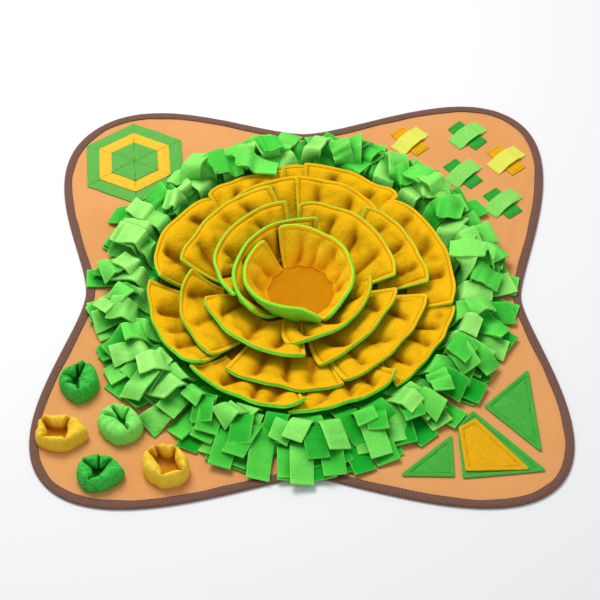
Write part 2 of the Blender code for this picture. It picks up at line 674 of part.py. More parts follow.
# ---------------------------------------------------------------- the mat
for existing in list(bpy.data.objects):
    bpy.data.objects.remove(existing, do_unlink=True)
COLLECTION = bpy.data.collections.new("snuffle_mat")
CUTTERS = bpy.data.collections.new("cutters")
bpy.context.scene.collection.children.link(COLLECTION)
bpy.context.scene.collection.children.link(CUTTERS)
MAT = bpy.data.objects.new("mat", None)
COLLECTION.objects.link(MAT)
EDGE = outline_points()
MIDDLE = (EDGE.min(axis=0) + EDGE.max(axis=0)) / 2
MAT.location = (-MIDDLE[0] * MM, -MIDDLE[1] * MM, 0.0)

build_panel()
build_binding()
build_cup_floor()
for petal_row in PETALS:
    build_petal(*petal_row)
for sector_index, sector_strips in enumerate(lay_strips()):
    build_fringe(sector_index, sector_strips)
build_hexagons()
build_crosses()
for pouch_row in POUCHES:
    build_pouch(*pouch_row)
build_triangles()
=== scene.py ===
"""The snuffle mat's cloth: a quilted panel with a bound edge, a rosette of gathered fleece petals, a ring of
cut fleece strips, and four corners sewn with a felt hexagon, crosses, pouches and triangles.

The tables are in millimetres and degrees in the mat's own frame, the rosette's polar about its centre.
"""

import math
import random

import bmesh
import bpy
import numpy as np
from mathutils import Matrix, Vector


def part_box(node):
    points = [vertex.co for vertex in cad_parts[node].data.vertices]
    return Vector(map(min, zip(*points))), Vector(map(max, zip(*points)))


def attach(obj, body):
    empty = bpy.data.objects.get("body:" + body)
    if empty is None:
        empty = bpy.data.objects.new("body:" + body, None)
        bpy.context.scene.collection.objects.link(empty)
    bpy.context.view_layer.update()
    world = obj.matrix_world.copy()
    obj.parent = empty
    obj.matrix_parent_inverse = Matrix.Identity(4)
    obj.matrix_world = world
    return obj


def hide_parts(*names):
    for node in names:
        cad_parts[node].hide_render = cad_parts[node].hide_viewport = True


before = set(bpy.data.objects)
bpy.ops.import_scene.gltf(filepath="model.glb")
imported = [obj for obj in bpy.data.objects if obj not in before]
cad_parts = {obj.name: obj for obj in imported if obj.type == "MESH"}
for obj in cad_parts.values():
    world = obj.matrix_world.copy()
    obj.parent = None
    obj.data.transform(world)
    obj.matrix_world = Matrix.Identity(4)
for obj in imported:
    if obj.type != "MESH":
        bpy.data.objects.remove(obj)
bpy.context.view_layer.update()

MM = 0.001

# ---------------- sizes, in millimetres
SEAT = 0.3
PANEL_THICK = 3.0
BINDING_WIDTH = 13.0
BINDING_THICK = 1.5
BINDING_STITCH = 9.8            # how far in the binding's row of stitches runs
STITCH_LENGTH = 4.0
FELT_THICK = 1.6
PETAL_THICK = 3.0
STRIP_THICK = 2.8
ROSETTE_CENTRE = (-3.6, -1.8)
CUP_FLOOR_RADIUS = 48.0
DECK = PANEL_THICK + SEAT       # the height at which a piece sewn to the panel starts
FELT_LAYER = FELT_THICK + SEAT
FAR = 9.0                       # too far from a seam or a cut edge for it to show

# direction, distance from the centre, handle length, at a waist and a lobe's tip in turn
OUTLINE = (
    (-2.0, 296, 56), (46.0, 452, 112),
    (90.0, 297, 71), (135.5, 433, 121),
    (181.0, 297, 68), (224.5, 452, 111),
    (270.5, 302, 46), (315.0, 449, 106),
)

# name, pleats, root sections: (direction, radius), rim sections: (direction, radius, height)
PETALS = (
    ("petal_1a", 7, ((-64, 45), (121, 45)),
     ((-66, 84, 47), (-41, 76, 54), (-10, 71, 56), (25, 67, 57), (68, 68, 58), (95, 73, 59), (114, 78, 59))),
    ("petal_1b", 6, ((122, 45), (292, 45)),
     ((136, 70, 57), (169, 74, 55), (199, 78, 53), (225, 74, 55), (269, 70, 56), (281, 77, 53),
      (289, 85, 48))),
    ("petal_2a", 5, ((72, 60), (180, 58), (236, 49)),
     ((75, 94, 56), (91, 89, 55), (116, 87, 56), (145, 86, 56), (174, 89, 55), (200, 93, 52), (225, 90, 46))),
    ("petal_2b", 4, ((-118, 49), (-60, 52), (-2, 60)),
     ((-98, 111, 31), (-76, 106, 40), (-53, 103, 43), (-32, 100, 46), (-4, 95, 50))),
    ("petal_3a", 4, ((98, 74), (178, 74)),
     ((99, 127, 52), (125, 124, 52), (150, 123, 50), (170, 120, 48), (182, 114, 53), (198, 106, 58),
      (211, 102, 60))),
    ("petal_3b", 4, ((2, 62), (25, 58), (56, 58), (72, 72), (95, 74)),
     ((0, 129, 38), (10, 130, 37), (27, 129, 41), (44, 128, 46), (61, 126, 49), (80, 124, 50),
      (92, 119, 50))),
    ("petal_3c", 3, ((-85, 82), (-55, 80), (-1, 76)),
     ((-80, 139, 17), (-71, 136, 25), (-54, 132, 33), (-27, 129, 38), (-7, 133, 31))),
    ("petal_3d", 4, ((181, 74), (228, 70), (245, 54), (272, 50)),
     ((193, 135, 28), (203, 133, 32), (230, 132, 34), (258, 131, 35), (273, 132, 33))),
    ("petal_4a", 4, ((98, 104), (174, 104)),
     ((105, 166, 44), (125, 165, 43), (140, 166, 40), (156, 164, 41), (163, 167, 38), (170, 169, 38))),
    ("petal_4b", 2, ((90, 124), (118, 126)),
     ((90, 177, 44), (97, 178, 43), (105, 178, 40), (116, 176, 36), (124, 175, 32))),
    ("petal_4c", 3, ((55, 106), (92, 104)),
     ((48, 162, 34), (57, 170, 36), (65, 174, 39), (78, 175, 43), (93, 176, 46))),
    ("petal_4d", 4, ((-1, 104), (52, 104)),
     ((-3, 174, 35), (8, 169, 39), (24, 163, 41), (42, 160, 42), (53, 148, 48))),
    ("petal_4e", 4, ((-74, 104), (-4, 104)),
     ((-71, 174, 22), (-59, 173, 26), (-38, 171, 31), (-17, 172, 29), (-7, 174, 24))),
    ("petal_4f", 4, ((232, 106), (262, 109), (288, 118)),
     ((235, 175, 22), (250, 174, 23), (261, 174, 22), (272, 176, 19), (289, 176, 18))),
    ("petal_4g", 3, ((177, 104), (229, 104)),
     ((179, 147, 53), (186, 157, 49), (191, 165, 40), (200, 171, 32), (219, 172, 29), (227, 172, 29))),
    ("petal_5a", 3, ((128, 144), (179, 144)),
     ((126, 196, 18), (130, 198, 25), (135, 200, 32), (147, 204, 35), (158, 207, 35), (168, 205, 36),
      (177, 196, 44), (183, 190, 50))),
    ("petal_5b", 3, ((98, 144), (132, 144)),
     ((97, 203, 30), (106, 204, 30), (117, 206, 30), (125, 205, 32), (131, 201, 34))),
    ("petal_5c", 1, ((86, 165), (97, 165)),
     ((84, 213, 27), (91, 213, 28), (98, 212, 27))),
    ("petal_5d", 3, ((51, 144), (88, 144)),
     ((47, 203, 33), (51, 207, 32), (57, 205, 30), (67, 207, 33), (78, 206, 37), (89, 207, 41))),
    ("petal_5e", 4, ((-12, 144), (54, 144)),
     ((-13, 209, 35), (0, 208, 31), (12, 207, 30), (25, 205, 30), (37, 203, 30), (46, 198, 30),
      (53, 188, 22))),
    ("petal_5f", 4, ((-49, 148), (-11, 146)),
     ((-55, 214, 22), (-49, 213, 26), (-38, 212, 29), (-20, 212, 30), (-12, 213, 28))),
    ("petal_5g", 4, ((272, 161), (290, 158), (308, 148)),
     ((265, 215, 19), (270, 213, 25), (282, 212, 29), (296, 211, 32), (302, 209, 34), (308, 203, 43))),
    ("petal_5h", 4, ((228, 148), (250, 155), (269, 161)),
     ((225, 208, 36), (230, 208, 36), (240, 210, 32), (255, 210, 30), (263, 211, 30), (268, 208, 34),
      (272, 204, 42))),
    ("petal_5i", 4, ((182, 144), (225, 144)),
     ((182, 205, 41), (187, 207, 38), (195, 209, 35), (208, 210, 32), (220, 207, 38), (225, 204, 42),
      (229, 199, 47))),
)
# the petals whose lime backing shows all along their rims
LIME_TRIMS = ("petal_2a", "petal_3a", "petal_3b", "petal_4a", "petal_4d")
ROOT_FLAT = 0.3                 # share of a petal's reach that lies flat at its root
RIM_REACH = 0.25                # share of its reach over which it turns up to its rim
RIM_REACH_LESS = 0.17           # how much less of it in front, where the petals stand steeper
RIM_RISE = 0.3
RIM_RISE_MORE = 0.15
PLEAT_DEPTH = 8.0
PLEAT_FULL_WIDTH = 45.0
PLEAT_FULL_HEIGHT = 32.0
STITCH_IN = 7.5                 # from a petal's edge to its row of stitches
CORNER_ROUND = 6.0
PADDED_THICK = 5.0              # of a petal's two layers with their nap
FLAT_WIDER = 1.25               # a petal's flat cloth against its width at the rim and its reach
FLAT_LONGER = 1.2
# distances from a petal's edge at which its points lie closer together
EDGE_ROWS = (0.0, 2.0, 4.5, 6.4, STITCH_IN, 8.8, 11.0, 14.0)

SECTORS = 10
SECTOR_TURN = 360.0 / SECTORS
BACKING_INNER = 197.0
BACKING_OUTER = 232.0
BACKING_THICK = 3.0
BACKING_END_GAP = 3.0
BACKING_TRIM = 0.4              # in degrees, at each end
STRIP_WIDTH = 30.0
STRIP_WIDTH_SPREAD = 1.5
STRIP_SEED = 22
ROW_TURN = 9.0                  # each row starts so much further round, and may lie so much higher
ROW_RISE = 4.0
# strips a sector, root radius, tip radius, its spread, height of the crest, height of the tip, most turn,
# greens from 0 for dark to 1 for light, the lower rows darker as painted shade
STRIP_ROWS = (
    (4, 226, 286, 8, 4, 0, 16, (0.0, 0.15, 0.4, 0.5)),
    (4, 218, 278, 12, 7, 2, 20, (0.05, 0.3, 0.5, 0.75)),
    (3, 210, 268, 13, 12, 5, 24, (0.25, 0.5, 0.8, 0.95)),
    (3, 202, 260, 14, 18, 9, 24, (0.3, 0.5, 0.85, 1.0)),
)
# loose strips round the whole ring: how many, then as above, the lower layers darker as painted shade
TUFTS = (
    (24, 228, 286, 10, 5, 2, 40, (0.1, 0.35, 0.5, 0.7)),
    (26, 218, 270, 10, 12, 8, 50, (0.3, 0.5, 0.8, 0.95)),
    (20, 214, 258, 8, 18, 14, 60, (0.35, 0.6, 0.9, 1.0)),
)
# strips that stand out one by one: direction, root radius, turn, length, crest, tip height, green, looseness,
# and whether it lies over the petals' rims
SINGLE_STRIPS = (
    (270.0, 226, 1, 90, 12, 1, 0.62, 0.4, False), (277.5, 222, 4, 84, 8, 1, 0.30, 0.5, False),
    (249.0, 226, 4, 82, 8, 1, 0.30, 0.6, False), (259.0, 228, 2, 84, 7, 1, 0.52, 0.6, False),
    (152.5, 236, 2, 62, 8, 1, 0.30, 0.3, False),
    (7.5, 256, 165, 66, 24, 26, 0.72, 0.3, True), (126.0, 226, -104, 60, 28, 26, 0.40, 0.9, True),
    (117.0, 226, -123, 80, 32, 30, 0.60, 1.3, True), (106.0, 232, -84, 46, 30, 24, 0.30, 0.9, True),
    (132.0, 232, -70, 50, 32, 28, 0.75, 1.2, True),
    (42.0, 238, 92, 46, 24, 20, 0.55, 0.5, True), (37.0, 242, 98, 44, 22, 18, 0.75, 0.5, True),
)
STRIP_NECK = 7.0
STRIP_STEPS = 28
SETTLE_STEPS = 13               # across a strip, while it settles
SETTLE_ROUNDS = 14
SOFT_REACH = 10                 # steps along a strip over which it bends up to clear what is below
PILE_LOW = 18.0                 # how high the first row of strips may lie
PILE_TUFTS = 35.0               # the same of the first loose strips
TUFT_RISE = 5.0
PILE_SINGLES = 26.0             # of the single strips
PILE_HIGH = 52.0                # and of those over the petals' rims
STRIP_GAP = 2.5
STRIP_BACK_LIFT = 0.5
STRIP_ROLL = 12.0
STRIP_CLEARANCE = 0.9
STRIP_LOW = DECK + STRIP_THICK / 2 + STRIP_CLEARANCE
RIM_CLEARANCE = 8.0             # between a petal's rim and a sewn strip's crest, and a loose one's neck
NECK_CLEARANCE = 11.0
UNDER_RIM = 220.0
RELIEF_CELL = 1.0
RELIEF_REACH = 360.0
RELIEF_MARGIN = 2.0

HEXAGON_CENTRE = (-244.5, 237.5)
HEXAGON_TURN = 95.0
HEXAGONS = (("hexagon_outer", 79.5), ("hexagon_middle", 58.5), ("hexagon_inner", 38.0))

CROSS_LENGTH = 56.0
CROSS_WIDTH = 25.5
# name, centre, direction of the upper strip, direction of the lower strip, colours of the two
CROSSES = (
    ("cross_1", (156, 282), 47, 131, "lemon", "amber"),
    ("cross_2", (241, 293), 42, 133, "lime", "leaf"),
    ("cross_3", (294, 244), 42, 128, "lemon", "amber"),
    ("cross_4", (230, 217), 47, 131, "lime", "leaf"),
    ("cross_5", (283, 160), 44, 127, "lime", "leaf"),
)

# from under a pouch up its outside and down into its mouth: where it lies between the mouth and the outside,
# share of the height, how much the creases lower it
POUCH_SECTION = (
    (0.5, 0.0, 0.0), (0.9, 0.0, 0.0), (0.99, 0.08, 0.0), (1.02, 0.28, 0.0), (1.0, 0.52, 0.0),
    (0.93, 0.75, 0.05), (0.80, 0.92, 0.15), (0.62, 1.0, 0.5), (0.42, 0.98, 1.1), (0.24, 0.89, 1.6),
    (0.08, 0.74, 1.8), (0.0, 0.54, 1.5), (0.02, 0.34, 1.0), (0.10, 0.22, 0.4), (0.06, 0.14, 0.0),
)
POUCH_NOTCH = 3.6               # how far in a crease draws the rim, and how far out a lump pushes it
POUCH_LUMP = 0.4
# name, colour, height, the solid's middle, its half width across and along, then the middle of the folds seen
# in the photo, with their outline and their mouth as directions and distances from it
POUCHES = (
    ("pouch_1", "leaf", 27, (-294, -160), (25, 27), (-296, -162),
     ((18, 28), (41, 30), (62, 29), (86, 27), (111, 21), (162, 22), (178, 23), (211, 21), (246, 23),
      (275, 28), (297, 28), (328, 28), (355, 29)),
     ((16, 3), (53, 12), (63, 24), (73, 16), (78, 12), (89, 22), (95, 7), (174, 17), (188, 4), (216, 8),
      (224, 14), (236, 9), (274, 10), (284, 18), (304, 7))),
    ("pouch_2", "amber", 25, (-311, -240), (32, 24), (-313, -242),
     ((10, 35), (21, 32), (41, 29), (59, 26), (93, 22), (132, 28), (143, 30), (155, 29), (175, 26),
      (192, 29), (204, 29), (226, 25), (254, 23), (282, 24), (303, 26), (327, 28), (347, 34), (359, 38)),
     ((20, 13), (36, 13), (50, 21), (62, 9), (130, 12), (144, 25), (186, 13), (216, 22), (248, 10),
      (309, 14), (333, 13))),
    ("pouch_3", "green", 26, (-235, -227), (29, 27), (-234, -225),
     ((15, 23), (50, 21), (100, 22), (123, 26), (152, 28), (171, 30), (185, 30), (210, 28), (241, 28),
      (263, 31), (291, 30), (316, 30), (338, 30), (356, 27)),
     ((22, 6), (48, 14), (70, 4), (127, 22), (143, 5), (160, 6), (170, 22), (190, 3), (240, 3), (292, 10),
      (301, 21), (312, 9))),
    ("pouch_4", "leaf", 25, (-256, -301), (30, 24), (-258, -302),
     ((2, 33), (19, 28), (33, 28), (52, 24), (84, 23), (119, 24), (142, 27), (161, 27), (183, 27),
      (210, 26), (235, 26), (251, 25), (274, 23), (295, 23), (329, 26), (349, 31)),
     ((22, 10), (36, 20), (52, 7), (76, 6), (86, 17), (96, 5), (150, 22), (168, 7), (200, 7), (232, 9),
      (240, 21), (255, 13), (280, 9), (337, 6))),
    ("pouch_5", "amber", 28, (-173, -292), (29, 28), (-172, -290),
     ((8, 26), (37, 24), (60, 24), (91, 23), (129, 28), (148, 30), (165, 32), (197, 31), (223, 30),
      (243, 29), (257, 31), (281, 30), (310, 31), (328, 31), (346, 29)),
     ((30, 11), (58, 18), (70, 10), (112, 11), (128, 24), (139, 16), (152, 25), (173, 14), (230, 11),
      (259, 20), (289, 17), (321, 24), (358, 12))),
)

TRIANGLE_STITCH = 5.2           # how far in its row of stitches runs
# name, corners, whether it lies on another triangle, colour
TRIANGLES = (
    ("triangle_1", ((295, -136), (234, -194), (302, -266)), False, "green"),
    ("triangle_2", ((189, -239), (121, -301), (189, -302)), False, "green"),
    ("triangle_3", ((219, -202), (198, -222), (200, -304), (305, -293)), False, "green"),
    ("triangle_4", ((221, -215), (199, -228), (204, -294), (284, -292)), True, "amber"),
)

FLOOR_LOW, FLOOR_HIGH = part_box("cup_floor")
SHIFT = np.array(((FLOOR_LOW.x + FLOOR_HIGH.x) / 2 / MM - ROSETTE_CENTRE[0],
                  (FLOOR_LOW.y + FLOOR_HIGH.y) / 2 / MM - ROSETTE_CENTRE[1], 0.0))

# ---------------- camera, floor and light
CAMERA_ELEVATION = 51.244
CAMERA_DISTANCE = 2383.1
CAMERA_AIM = (-5.01, -13.53, 0.0)
CAMERA_LENS = 105.0
CAMERA_SENSOR = 36.0


def add_object(name, data):
    """A new object in the scene."""
    made = bpy.data.objects.new(name, data)
    bpy.context.scene.collection.objects.link(made)
    return made


def place_camera():
    """The camera at the photograph's angle."""
    lens = bpy.data.cameras.new("camera")
    lens.lens = CAMERA_LENS
    lens.sensor_width = CAMERA_SENSOR
    camera = add_object("camera", lens)
    angle = math.radians(CAMERA_ELEVATION)
    back = Vector((0.0, -math.cos(angle), math.sin(angle)))
    camera.location = (Vector(CAMERA_AIM) + Vector(SHIFT) + back * CAMERA_DISTANCE) * MM
    camera.rotation_euler = (-back).to_track_quat("-Z", "Y").to_euler()
    bpy.context.scene.camera = camera


def soft_light(name, place, size, power, colour=(1.0, 1.0, 1.0)):
    """A square soft light that points at the middle of the mat."""
    lamp = bpy.data.lights.new(name, "AREA")
    lamp.shape = "SQUARE"
    lamp.size = size
    lamp.energy = power
    lamp.color = colour
    light = add_object(name, lamp)
    light.location = place
    light.rotation_euler = (-Vector(place)).to_track_quat("-Z", "Y").to_euler()


place_camera()
soft_light("key", (-0.6, 0.8, 2.1), 1.1, 39.5, (1.0, 0.99, 0.97))
soft_light("fill", (1.1, -1.2, 2.4), 2.0, 5.0)
world = bpy.data.worlds.new("studio")
world.use_nodes = True
backdrop = world.node_tree.nodes["Background"].inputs
backdrop["Color"].default_value = (0.96, 0.97, 1.0, 1.0)
backdrop["Strength"].default_value = 0.43
bpy.context.scene.world = world
bpy.context.scene.view_settings.view_transform = "Standard"


# ---------------- materials
class Number:
    """A number that changes over a surface; its operators add Math nodes to its finish."""

    def __init__(self, finish, socket):
        self.finish = finish
        self.socket = socket

    def math(self, operation, *others):
        return self.finish.node("Math", {"operation": operation}, dict(enumerate((self, *others))))

    def reflected(self, operation, other):
        return self.finish.node("Math", {"operation": operation}, {0: other, 1: self})

    def __add__(self, other):
        return self.math("ADD", other)

    def __sub__(self, other):
        return self.math("SUBTRACT", other)

    def __rsub__(self, other):
        return self.reflected("SUBTRACT", other)

    def __mul__(self, other):
        return self.math("MULTIPLY", other)

    def __truediv__(self, other):
        return self.math("DIVIDE", other)

    __radd__ = __add__
    __rmul__ = __mul__

    def clamped(self):
        """The number kept from 0 to 1."""
        return self.finish.node("Clamp", {}, {"Value": self})

    def sine(self):
        return self.math("SINE")

    def size(self):
        return self.math("ABSOLUTE")


class Finish:
    """One cloth's procedural material, whose colour and height are laid on in turn."""

    def __init__(self, name, **sockets):
        self.material = bpy.data.materials.new(name)
        self.material.use_nodes = True
        self.tree = self.material.node_tree
        self.shader = self.tree.nodes["Principled BSDF"]
        for socket, value in sockets.items():
            self.shader.inputs[socket.replace("_", " ")].default_value = value
        self.place = self.node("TexCoord", {}, {}, "Object")

    def node(self, kind, settings, sockets, output=0):
        """Adds a node: its settings first, then its sockets' values or links; gives one output."""
        made = self.tree.nodes.new("ShaderNode" + kind)
        for setting, value in settings.items():
            setattr(made, setting, value)
        for socket, value in sockets.items():
            if isinstance(value, Number):
                self.tree.links.new(value.socket, made.inputs[socket])
            else:
                made.inputs[socket].default_value = value
        return Number(self, made.outputs[output])

    def fact(self, name):
        """A number that the piece itself carries."""
        return self.node("Attribute", {"attribute_name": name}, {}, "Fac")

    def noise(self, scale, detail=2.0, rough=0.5):
        """Soft noise from 0 to 1, its scale in waves a metre."""
        return self.node("TexNoise", {}, {"Vector": self.place, "Scale": scale, "Detail": detail,
                                          "Roughness": rough})

    def mix(self, share, first, second):
        """A colour between two."""
        return self.node("Mix", {"data_type": "RGBA", "clamp_factor": True},
                         {0: share, 6: first, 7: second}, 2)

    def tint(self, share, *shade):
        """Lays a share of another shade on the colour."""
        self.colour = self.mix(share, self.colour, rgb(*shade))

    def finished(self, depth, strength):
        """The material, raised by the height in units of the depth in millimetres."""
        raised = self.node("Bump", {}, {"Strength": strength, "Distance": depth * MM, "Height": self.height})
        self.tree.links.new(self.colour.socket, self.shader.inputs["Base Color"])
        self.tree.links.new(raised.socket, self.shader.inputs["Normal"])
        return self.material


def rgb(*shade):
    """A shader colour from an sRGB one of 0 to 255."""
    return (*(((v / 255 + 0.055) / 1.055) ** 2.4 if v > 10 else v / 255 / 12.92 for v in shade), 1.0)


def near(value, middle, width):
    """1 where the value is at the middle, falling to 0 at the width on either side."""
    return (1.0 - (value - middle).size() / width).clamped()


MATT = {"Roughness": 0.95, "Specular_IOR_Level": 0.1, "Sheen_Weight": 0.06, "Sheen_Roughness": 0.5}


def make_fleece(name, base, pale, deep, extra=None):
    """Brushed fleece: matt, with a short nap and soft uneven colour."""
    finish = Finish(name, Sheen_Tint=rgb(*base), **MATT)
    nap = finish.noise(480.0, 2.0, 0.6)
    tufts = finish.noise(190.0, 2.0)
    cloudy = (finish.noise(38.0, 3.0) * 1.6 - 0.45).clamped()
    finish.colour = finish.mix(cloudy * 0.5, rgb(*base), rgb(*pale))
    finish.tint((0.62 - nap * 0.7 - tufts * 0.3).clamped() * 1.7, *deep)
    finish.height = nap * 0.5 + tufts
    if extra:
        extra(finish)
    return finish.finished(1.1, 0.9)


def petal_front(finish):
    """Painted olive shade down in the pleats and near the root, the pressed row of stitches and a painted
    highlight on the roll outside it.
    """
    edge = finish.fact("edge")
    stitch = near(edge, STITCH_IN, 1.6)
    # painted shade down in the pleats and near the root
    finish.tint(finish.fact("painted_hollow_shade").clamped() * 0.85, 136, 74, 0)
    finish.tint(stitch * 0.27, 150, 88, 0)
    # a painted highlight on the rolled rim
    finish.tint(near(edge, 1.5, 5.0) * 0.5, 255, 206, 40)
    finish.tint((near(edge, 0.0, 2.2) * 2.0).clamped() * finish.fact("trim"), 150, 244, 76)
    finish.height = finish.height - stitch * 0.65


def cup_front(finish):
    """The cup's inside, a warmer orange that deepens towards the seam at its floor."""
    stitch = near(finish.fact("edge"), STITCH_IN, 1.6)
    finish.tint(0.75, 255, 222, 34)
    # painted shade down in the pleats
    finish.tint(finish.fact("painted_hollow_shade").clamped() * 0.6, 196, 110, 0)
    finish.tint(stitch * 0.1, 150, 92, 0)
    finish.tint((1.0 - finish.fact("rise") * 2.0).clamped() * 0.45, 255, 176, 4)
    finish.height = finish.height - stitch * 0.5


def floor_front(finish):
    """The cup's floor: a flat browner orange."""
    brown = finish.mix(finish.noise(90.0, 3.0), rgb(176, 112, 0), rgb(196, 130, 4))
    finish.colour = finish.mix(0.85, finish.colour, brown)


def strip_tints(finish):
    """Three greens, one for each strip, with a painted highlight along the cut edge and painted shade, a
    deeper green, low in the pile.
    """
    green = finish.fact("tint")
    mottle = finish.noise(50.0, 2.0) * 0.25 + finish.noise(340.0, 2.0) * 0.75
    finish.colour = finish.mix((green * 2.0).clamped(), rgb(28, 180, 48), rgb(98, 234, 82))
    finish.tint((green * 2.0 - 1.0).clamped(), 176, 255, 128)
    finish.tint((0.75 - mottle * 1.3).clamped() * 0.6, 30, 166, 46)
    # painted shade low in the pile
    finish.tint(finish.fact("deep").clamped() * 0.86, 0, 136, 24)
    # a painted highlight along the cut edges
    finish.tint(near(finish.fact("edge"), 0.0, 1.6) * 0.3, 186, 252, 130)


def pouch_inside(tufted, *shade):
    """A pouch's extra: painted shade darkens its inside and its pinches, and its nap is coarser."""
    def extra(finish):
        plush = finish.noise(300.0, 2.0, 0.7)
        finish.tint((0.55 - plush).clamped() * tufted, *shade)
        # painted shade in the pinches' creases and inside the mouth
        finish.tint(finish.fact("crease").clamped() * 0.8, *shade)
        finish.tint(finish.fact("inner") * 0.75, *shade)
        finish.height = finish.height + plush * tufted
    return extra


def make_felt(name, base, pale, deep, thread):
    """Pressed felt with fine fibres, its rows of stitches pressed in."""
    finish = Finish(name, Sheen_Tint=rgb(*base), **MATT)
    fibres = finish.noise(560.0, 3.0, 0.7)
    mottle = finish.noise(260.0, 2.0)
    stitch = near(finish.fact("stitch"), 0.0, 1.2)
    seam = near(finish.fact("seam"), 0.0, 1.3)
    cloudy = (finish.noise(60.0, 3.0) * 1.5 - 0.4).clamped()
    finish.colour = finish.mix(cloudy * 0.4, rgb(*base), rgb(*pale))
    finish.tint((0.6 - fibres * 0.6 - mottle * 0.4).clamped() * 1.8, *deep)
    finish.tint(stitch * 0.5, *thread)
    finish.tint(seam * 0.6, *thread)
    finish.height = fibres * 0.4 + mottle * 0.6 - stitch * 1.3 - seam * 1.3
    return finish.finished(0.7, 0.8)


def make_panel_cloth():
    """Brushed tan cloth, with painted shade under the rosette."""
    finish = Finish("panel_cloth", Roughness=0.9, Specular_IOR_Level=0.15)
    weave = finish.noise(1100.0, 2.0, 0.6)
    cloudy = (finish.noise(9.0, 3.0) * 1.8 - 0.5).clamped()
    finish.colour = finish.mix(cloudy, rgb(232, 162, 98), rgb(242, 174, 110))
    finish.tint((0.6 - weave).clamped() * 0.9, 196, 126, 66)
    # painted shade under the rosette
    finish.tint(finish.fact("under"), 112, 70, 2)
    finish.height = weave * 0.3 + finish.noise(30.0, 4.0, 0.55)
    return finish.finished(2.4, 0.55)


def make_binding_tape(length):
    """Brown woven tape with fine ribs along it and a row of stitches near its inner edge."""
    finish = Finish("binding_tape", Roughness=0.7, Sheen_Weight=0.2, Specular_IOR_Level=0.3)
    along = finish.node("SeparateXYZ", {}, {0: finish.node("UVMap", {"uv_map": "cloth"}, {})})
    across = Number(finish, along.socket.node.outputs[1])
    ribs = (across * 150.0).sine()
    mottle = finish.noise(420.0, 3.0)
    row = near(finish.fact("inset"), BINDING_STITCH, 1.1) * finish.fact("top")
    thread = row * ((along * length * (2.0 * math.pi / STITCH_LENGTH)).sine() * 3.0 + 1.4).clamped()
    finish.colour = finish.mix((mottle * 1.5 - 0.3).clamped(), rgb(104, 68, 54), rgb(144, 100, 82))
    finish.tint((ribs * 0.5 + 0.5) * 0.35, 74, 46, 38)
    finish.tint(row * 0.8, 50, 28, 22)
    finish.tint(thread * 0.7, 178, 136, 112)
    finish.height = ribs * 0.3 + mottle * 0.4 - row * 1.2 + thread
    return finish.finished(0.5, 0.7)


def make_floor_finish():
    """The studio's plain pale floor."""
    finish = Finish("pale_floor", Roughness=0.9, Specular_IOR_Level=0.1)
    finish.shader.inputs["Base Color"].default_value = (0.92, 0.92, 0.94, 1.0)
    return finish.material


# ---------------- pieces
def set_facts(mesh, facts):
    """Gives the mesh's points their named numbers."""
    for name, values in facts.items():
        layer = mesh.attributes.new(name, "FLOAT", "POINT")
        values = np.broadcast_to(values, len(mesh.vertices))
        layer.data.foreach_set("value", np.ascontiguousarray(values, dtype=np.float32))


def mesh_from(shape, name):
    """A mesh of the shape, which is freed."""
    mesh = bpy.data.meshes.new(name)
    shape.to_mesh(mesh)
    shape.free()
    return mesh


def places_of(mesh):
    """The places of the mesh's points, a row for each."""
    flat = np.zeros(len(mesh.vertices) * 3)
    mesh.vertices.foreach_get("co", flat)
    return flat.reshape(-1, 3)


def move_points(mesh, places):
    """Moves the mesh's points to places in millimetres."""
    mesh.vertices.foreach_set("co", ((places + SHIFT) * MM).ravel())


def shade_smooth(mesh):
    """Shades all the faces smooth."""
    mesh.polygons.foreach_set("use_smooth", [True] * len(mesh.polygons))


def face_up(mesh):
    """Turns a sheet that faces down over."""
    if sum(face.normal.z * face.area for face in mesh.polygons) < 0:
        mesh.flip_normals()


def shaped_grid(name, points, facts, closed=False):
    """A mesh from a flat grid whose points take the given places, rows first; closed merges what meets."""
    rows, columns = points.shape[0] - 1, points.shape[1] - 1
    shape = bmesh.new()
    shape.loops.layers.uv.new("cloth")
    bmesh.ops.create_grid(shape, x_segments=columns, y_segments=rows, size=0.5, calc_uvs=True)
    mesh = mesh_from(shape, name)
    flat = places_of(mesh)
    column = np.rint((flat[:, 0] + 0.5) * columns).astype(int)
    row = np.rint((flat[:, 1] + 0.5) * rows).astype(int)
    move_points(mesh, points[row, column])
    set_facts(mesh, {key: np.broadcast_to(values, points.shape[:2])[row, column]
                     for key, values in facts.items()})
    if closed:
        shape = bmesh.new()
        shape.from_mesh(mesh)
        bmesh.ops.remove_doubles(shape, verts=shape.verts, dist=0.00002)
        bmesh.ops.recalc_face_normals(shape, faces=shape.faces)
        shape.to_mesh(mesh)
        shape.free()
    shade_smooth(mesh)
    return mesh


def make_piece(node, mesh, slot, *materials):
    """A piece of cloth that stands for its CAD node."""
    piece = add_object(node + "_cloth", mesh)
    for material in materials:
        mesh.materials.append(material)
    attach(piece, "root")
    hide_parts(node)
    return piece


def modify(piece, kind, **settings):
    """Adds a modifier to the piece."""
    modifier = piece.modifiers.new(kind.lower(), kind)
    for setting, value in settings.items():
        setattr(modifier, setting, value)


def thicken(piece, thickness, offset=0.0, back=0):
    """Gives a sheet its thickness; back is how many materials on its back and rim are."""
    modify(piece, "SOLIDIFY", thickness=thickness * MM, offset=offset, use_even_offset=False,
           material_offset=back, material_offset_rim=back)


def soften(piece, width):
    """Rounds off the cut edges a little."""
    modify(piece, "BEVEL", width=width * MM, segments=2, limit_method="ANGLE", angle_limit=math.radians(50))


def area_of(mesh):
    """The mesh's area in square metres."""
    return sum(face.area for face in mesh.polygons)


def unit(value):
    """The value kept from 0 to 1."""
    return np.clip(value, 0.0, 1.0)


def smooth_step(low, high, value):
    """0 below low, 1 above high, and smooth between."""
    share = unit((value - low) / (high - low))
    return share * share * (3.0 - 2.0 * share)


SOFTENING = (0.1, 0.2, 0.4, 0.2, 0.1)


def bell(value, width):
    """1 at 0, falling away softly at the width on either side."""
    return np.exp(-(value / width) ** 2)


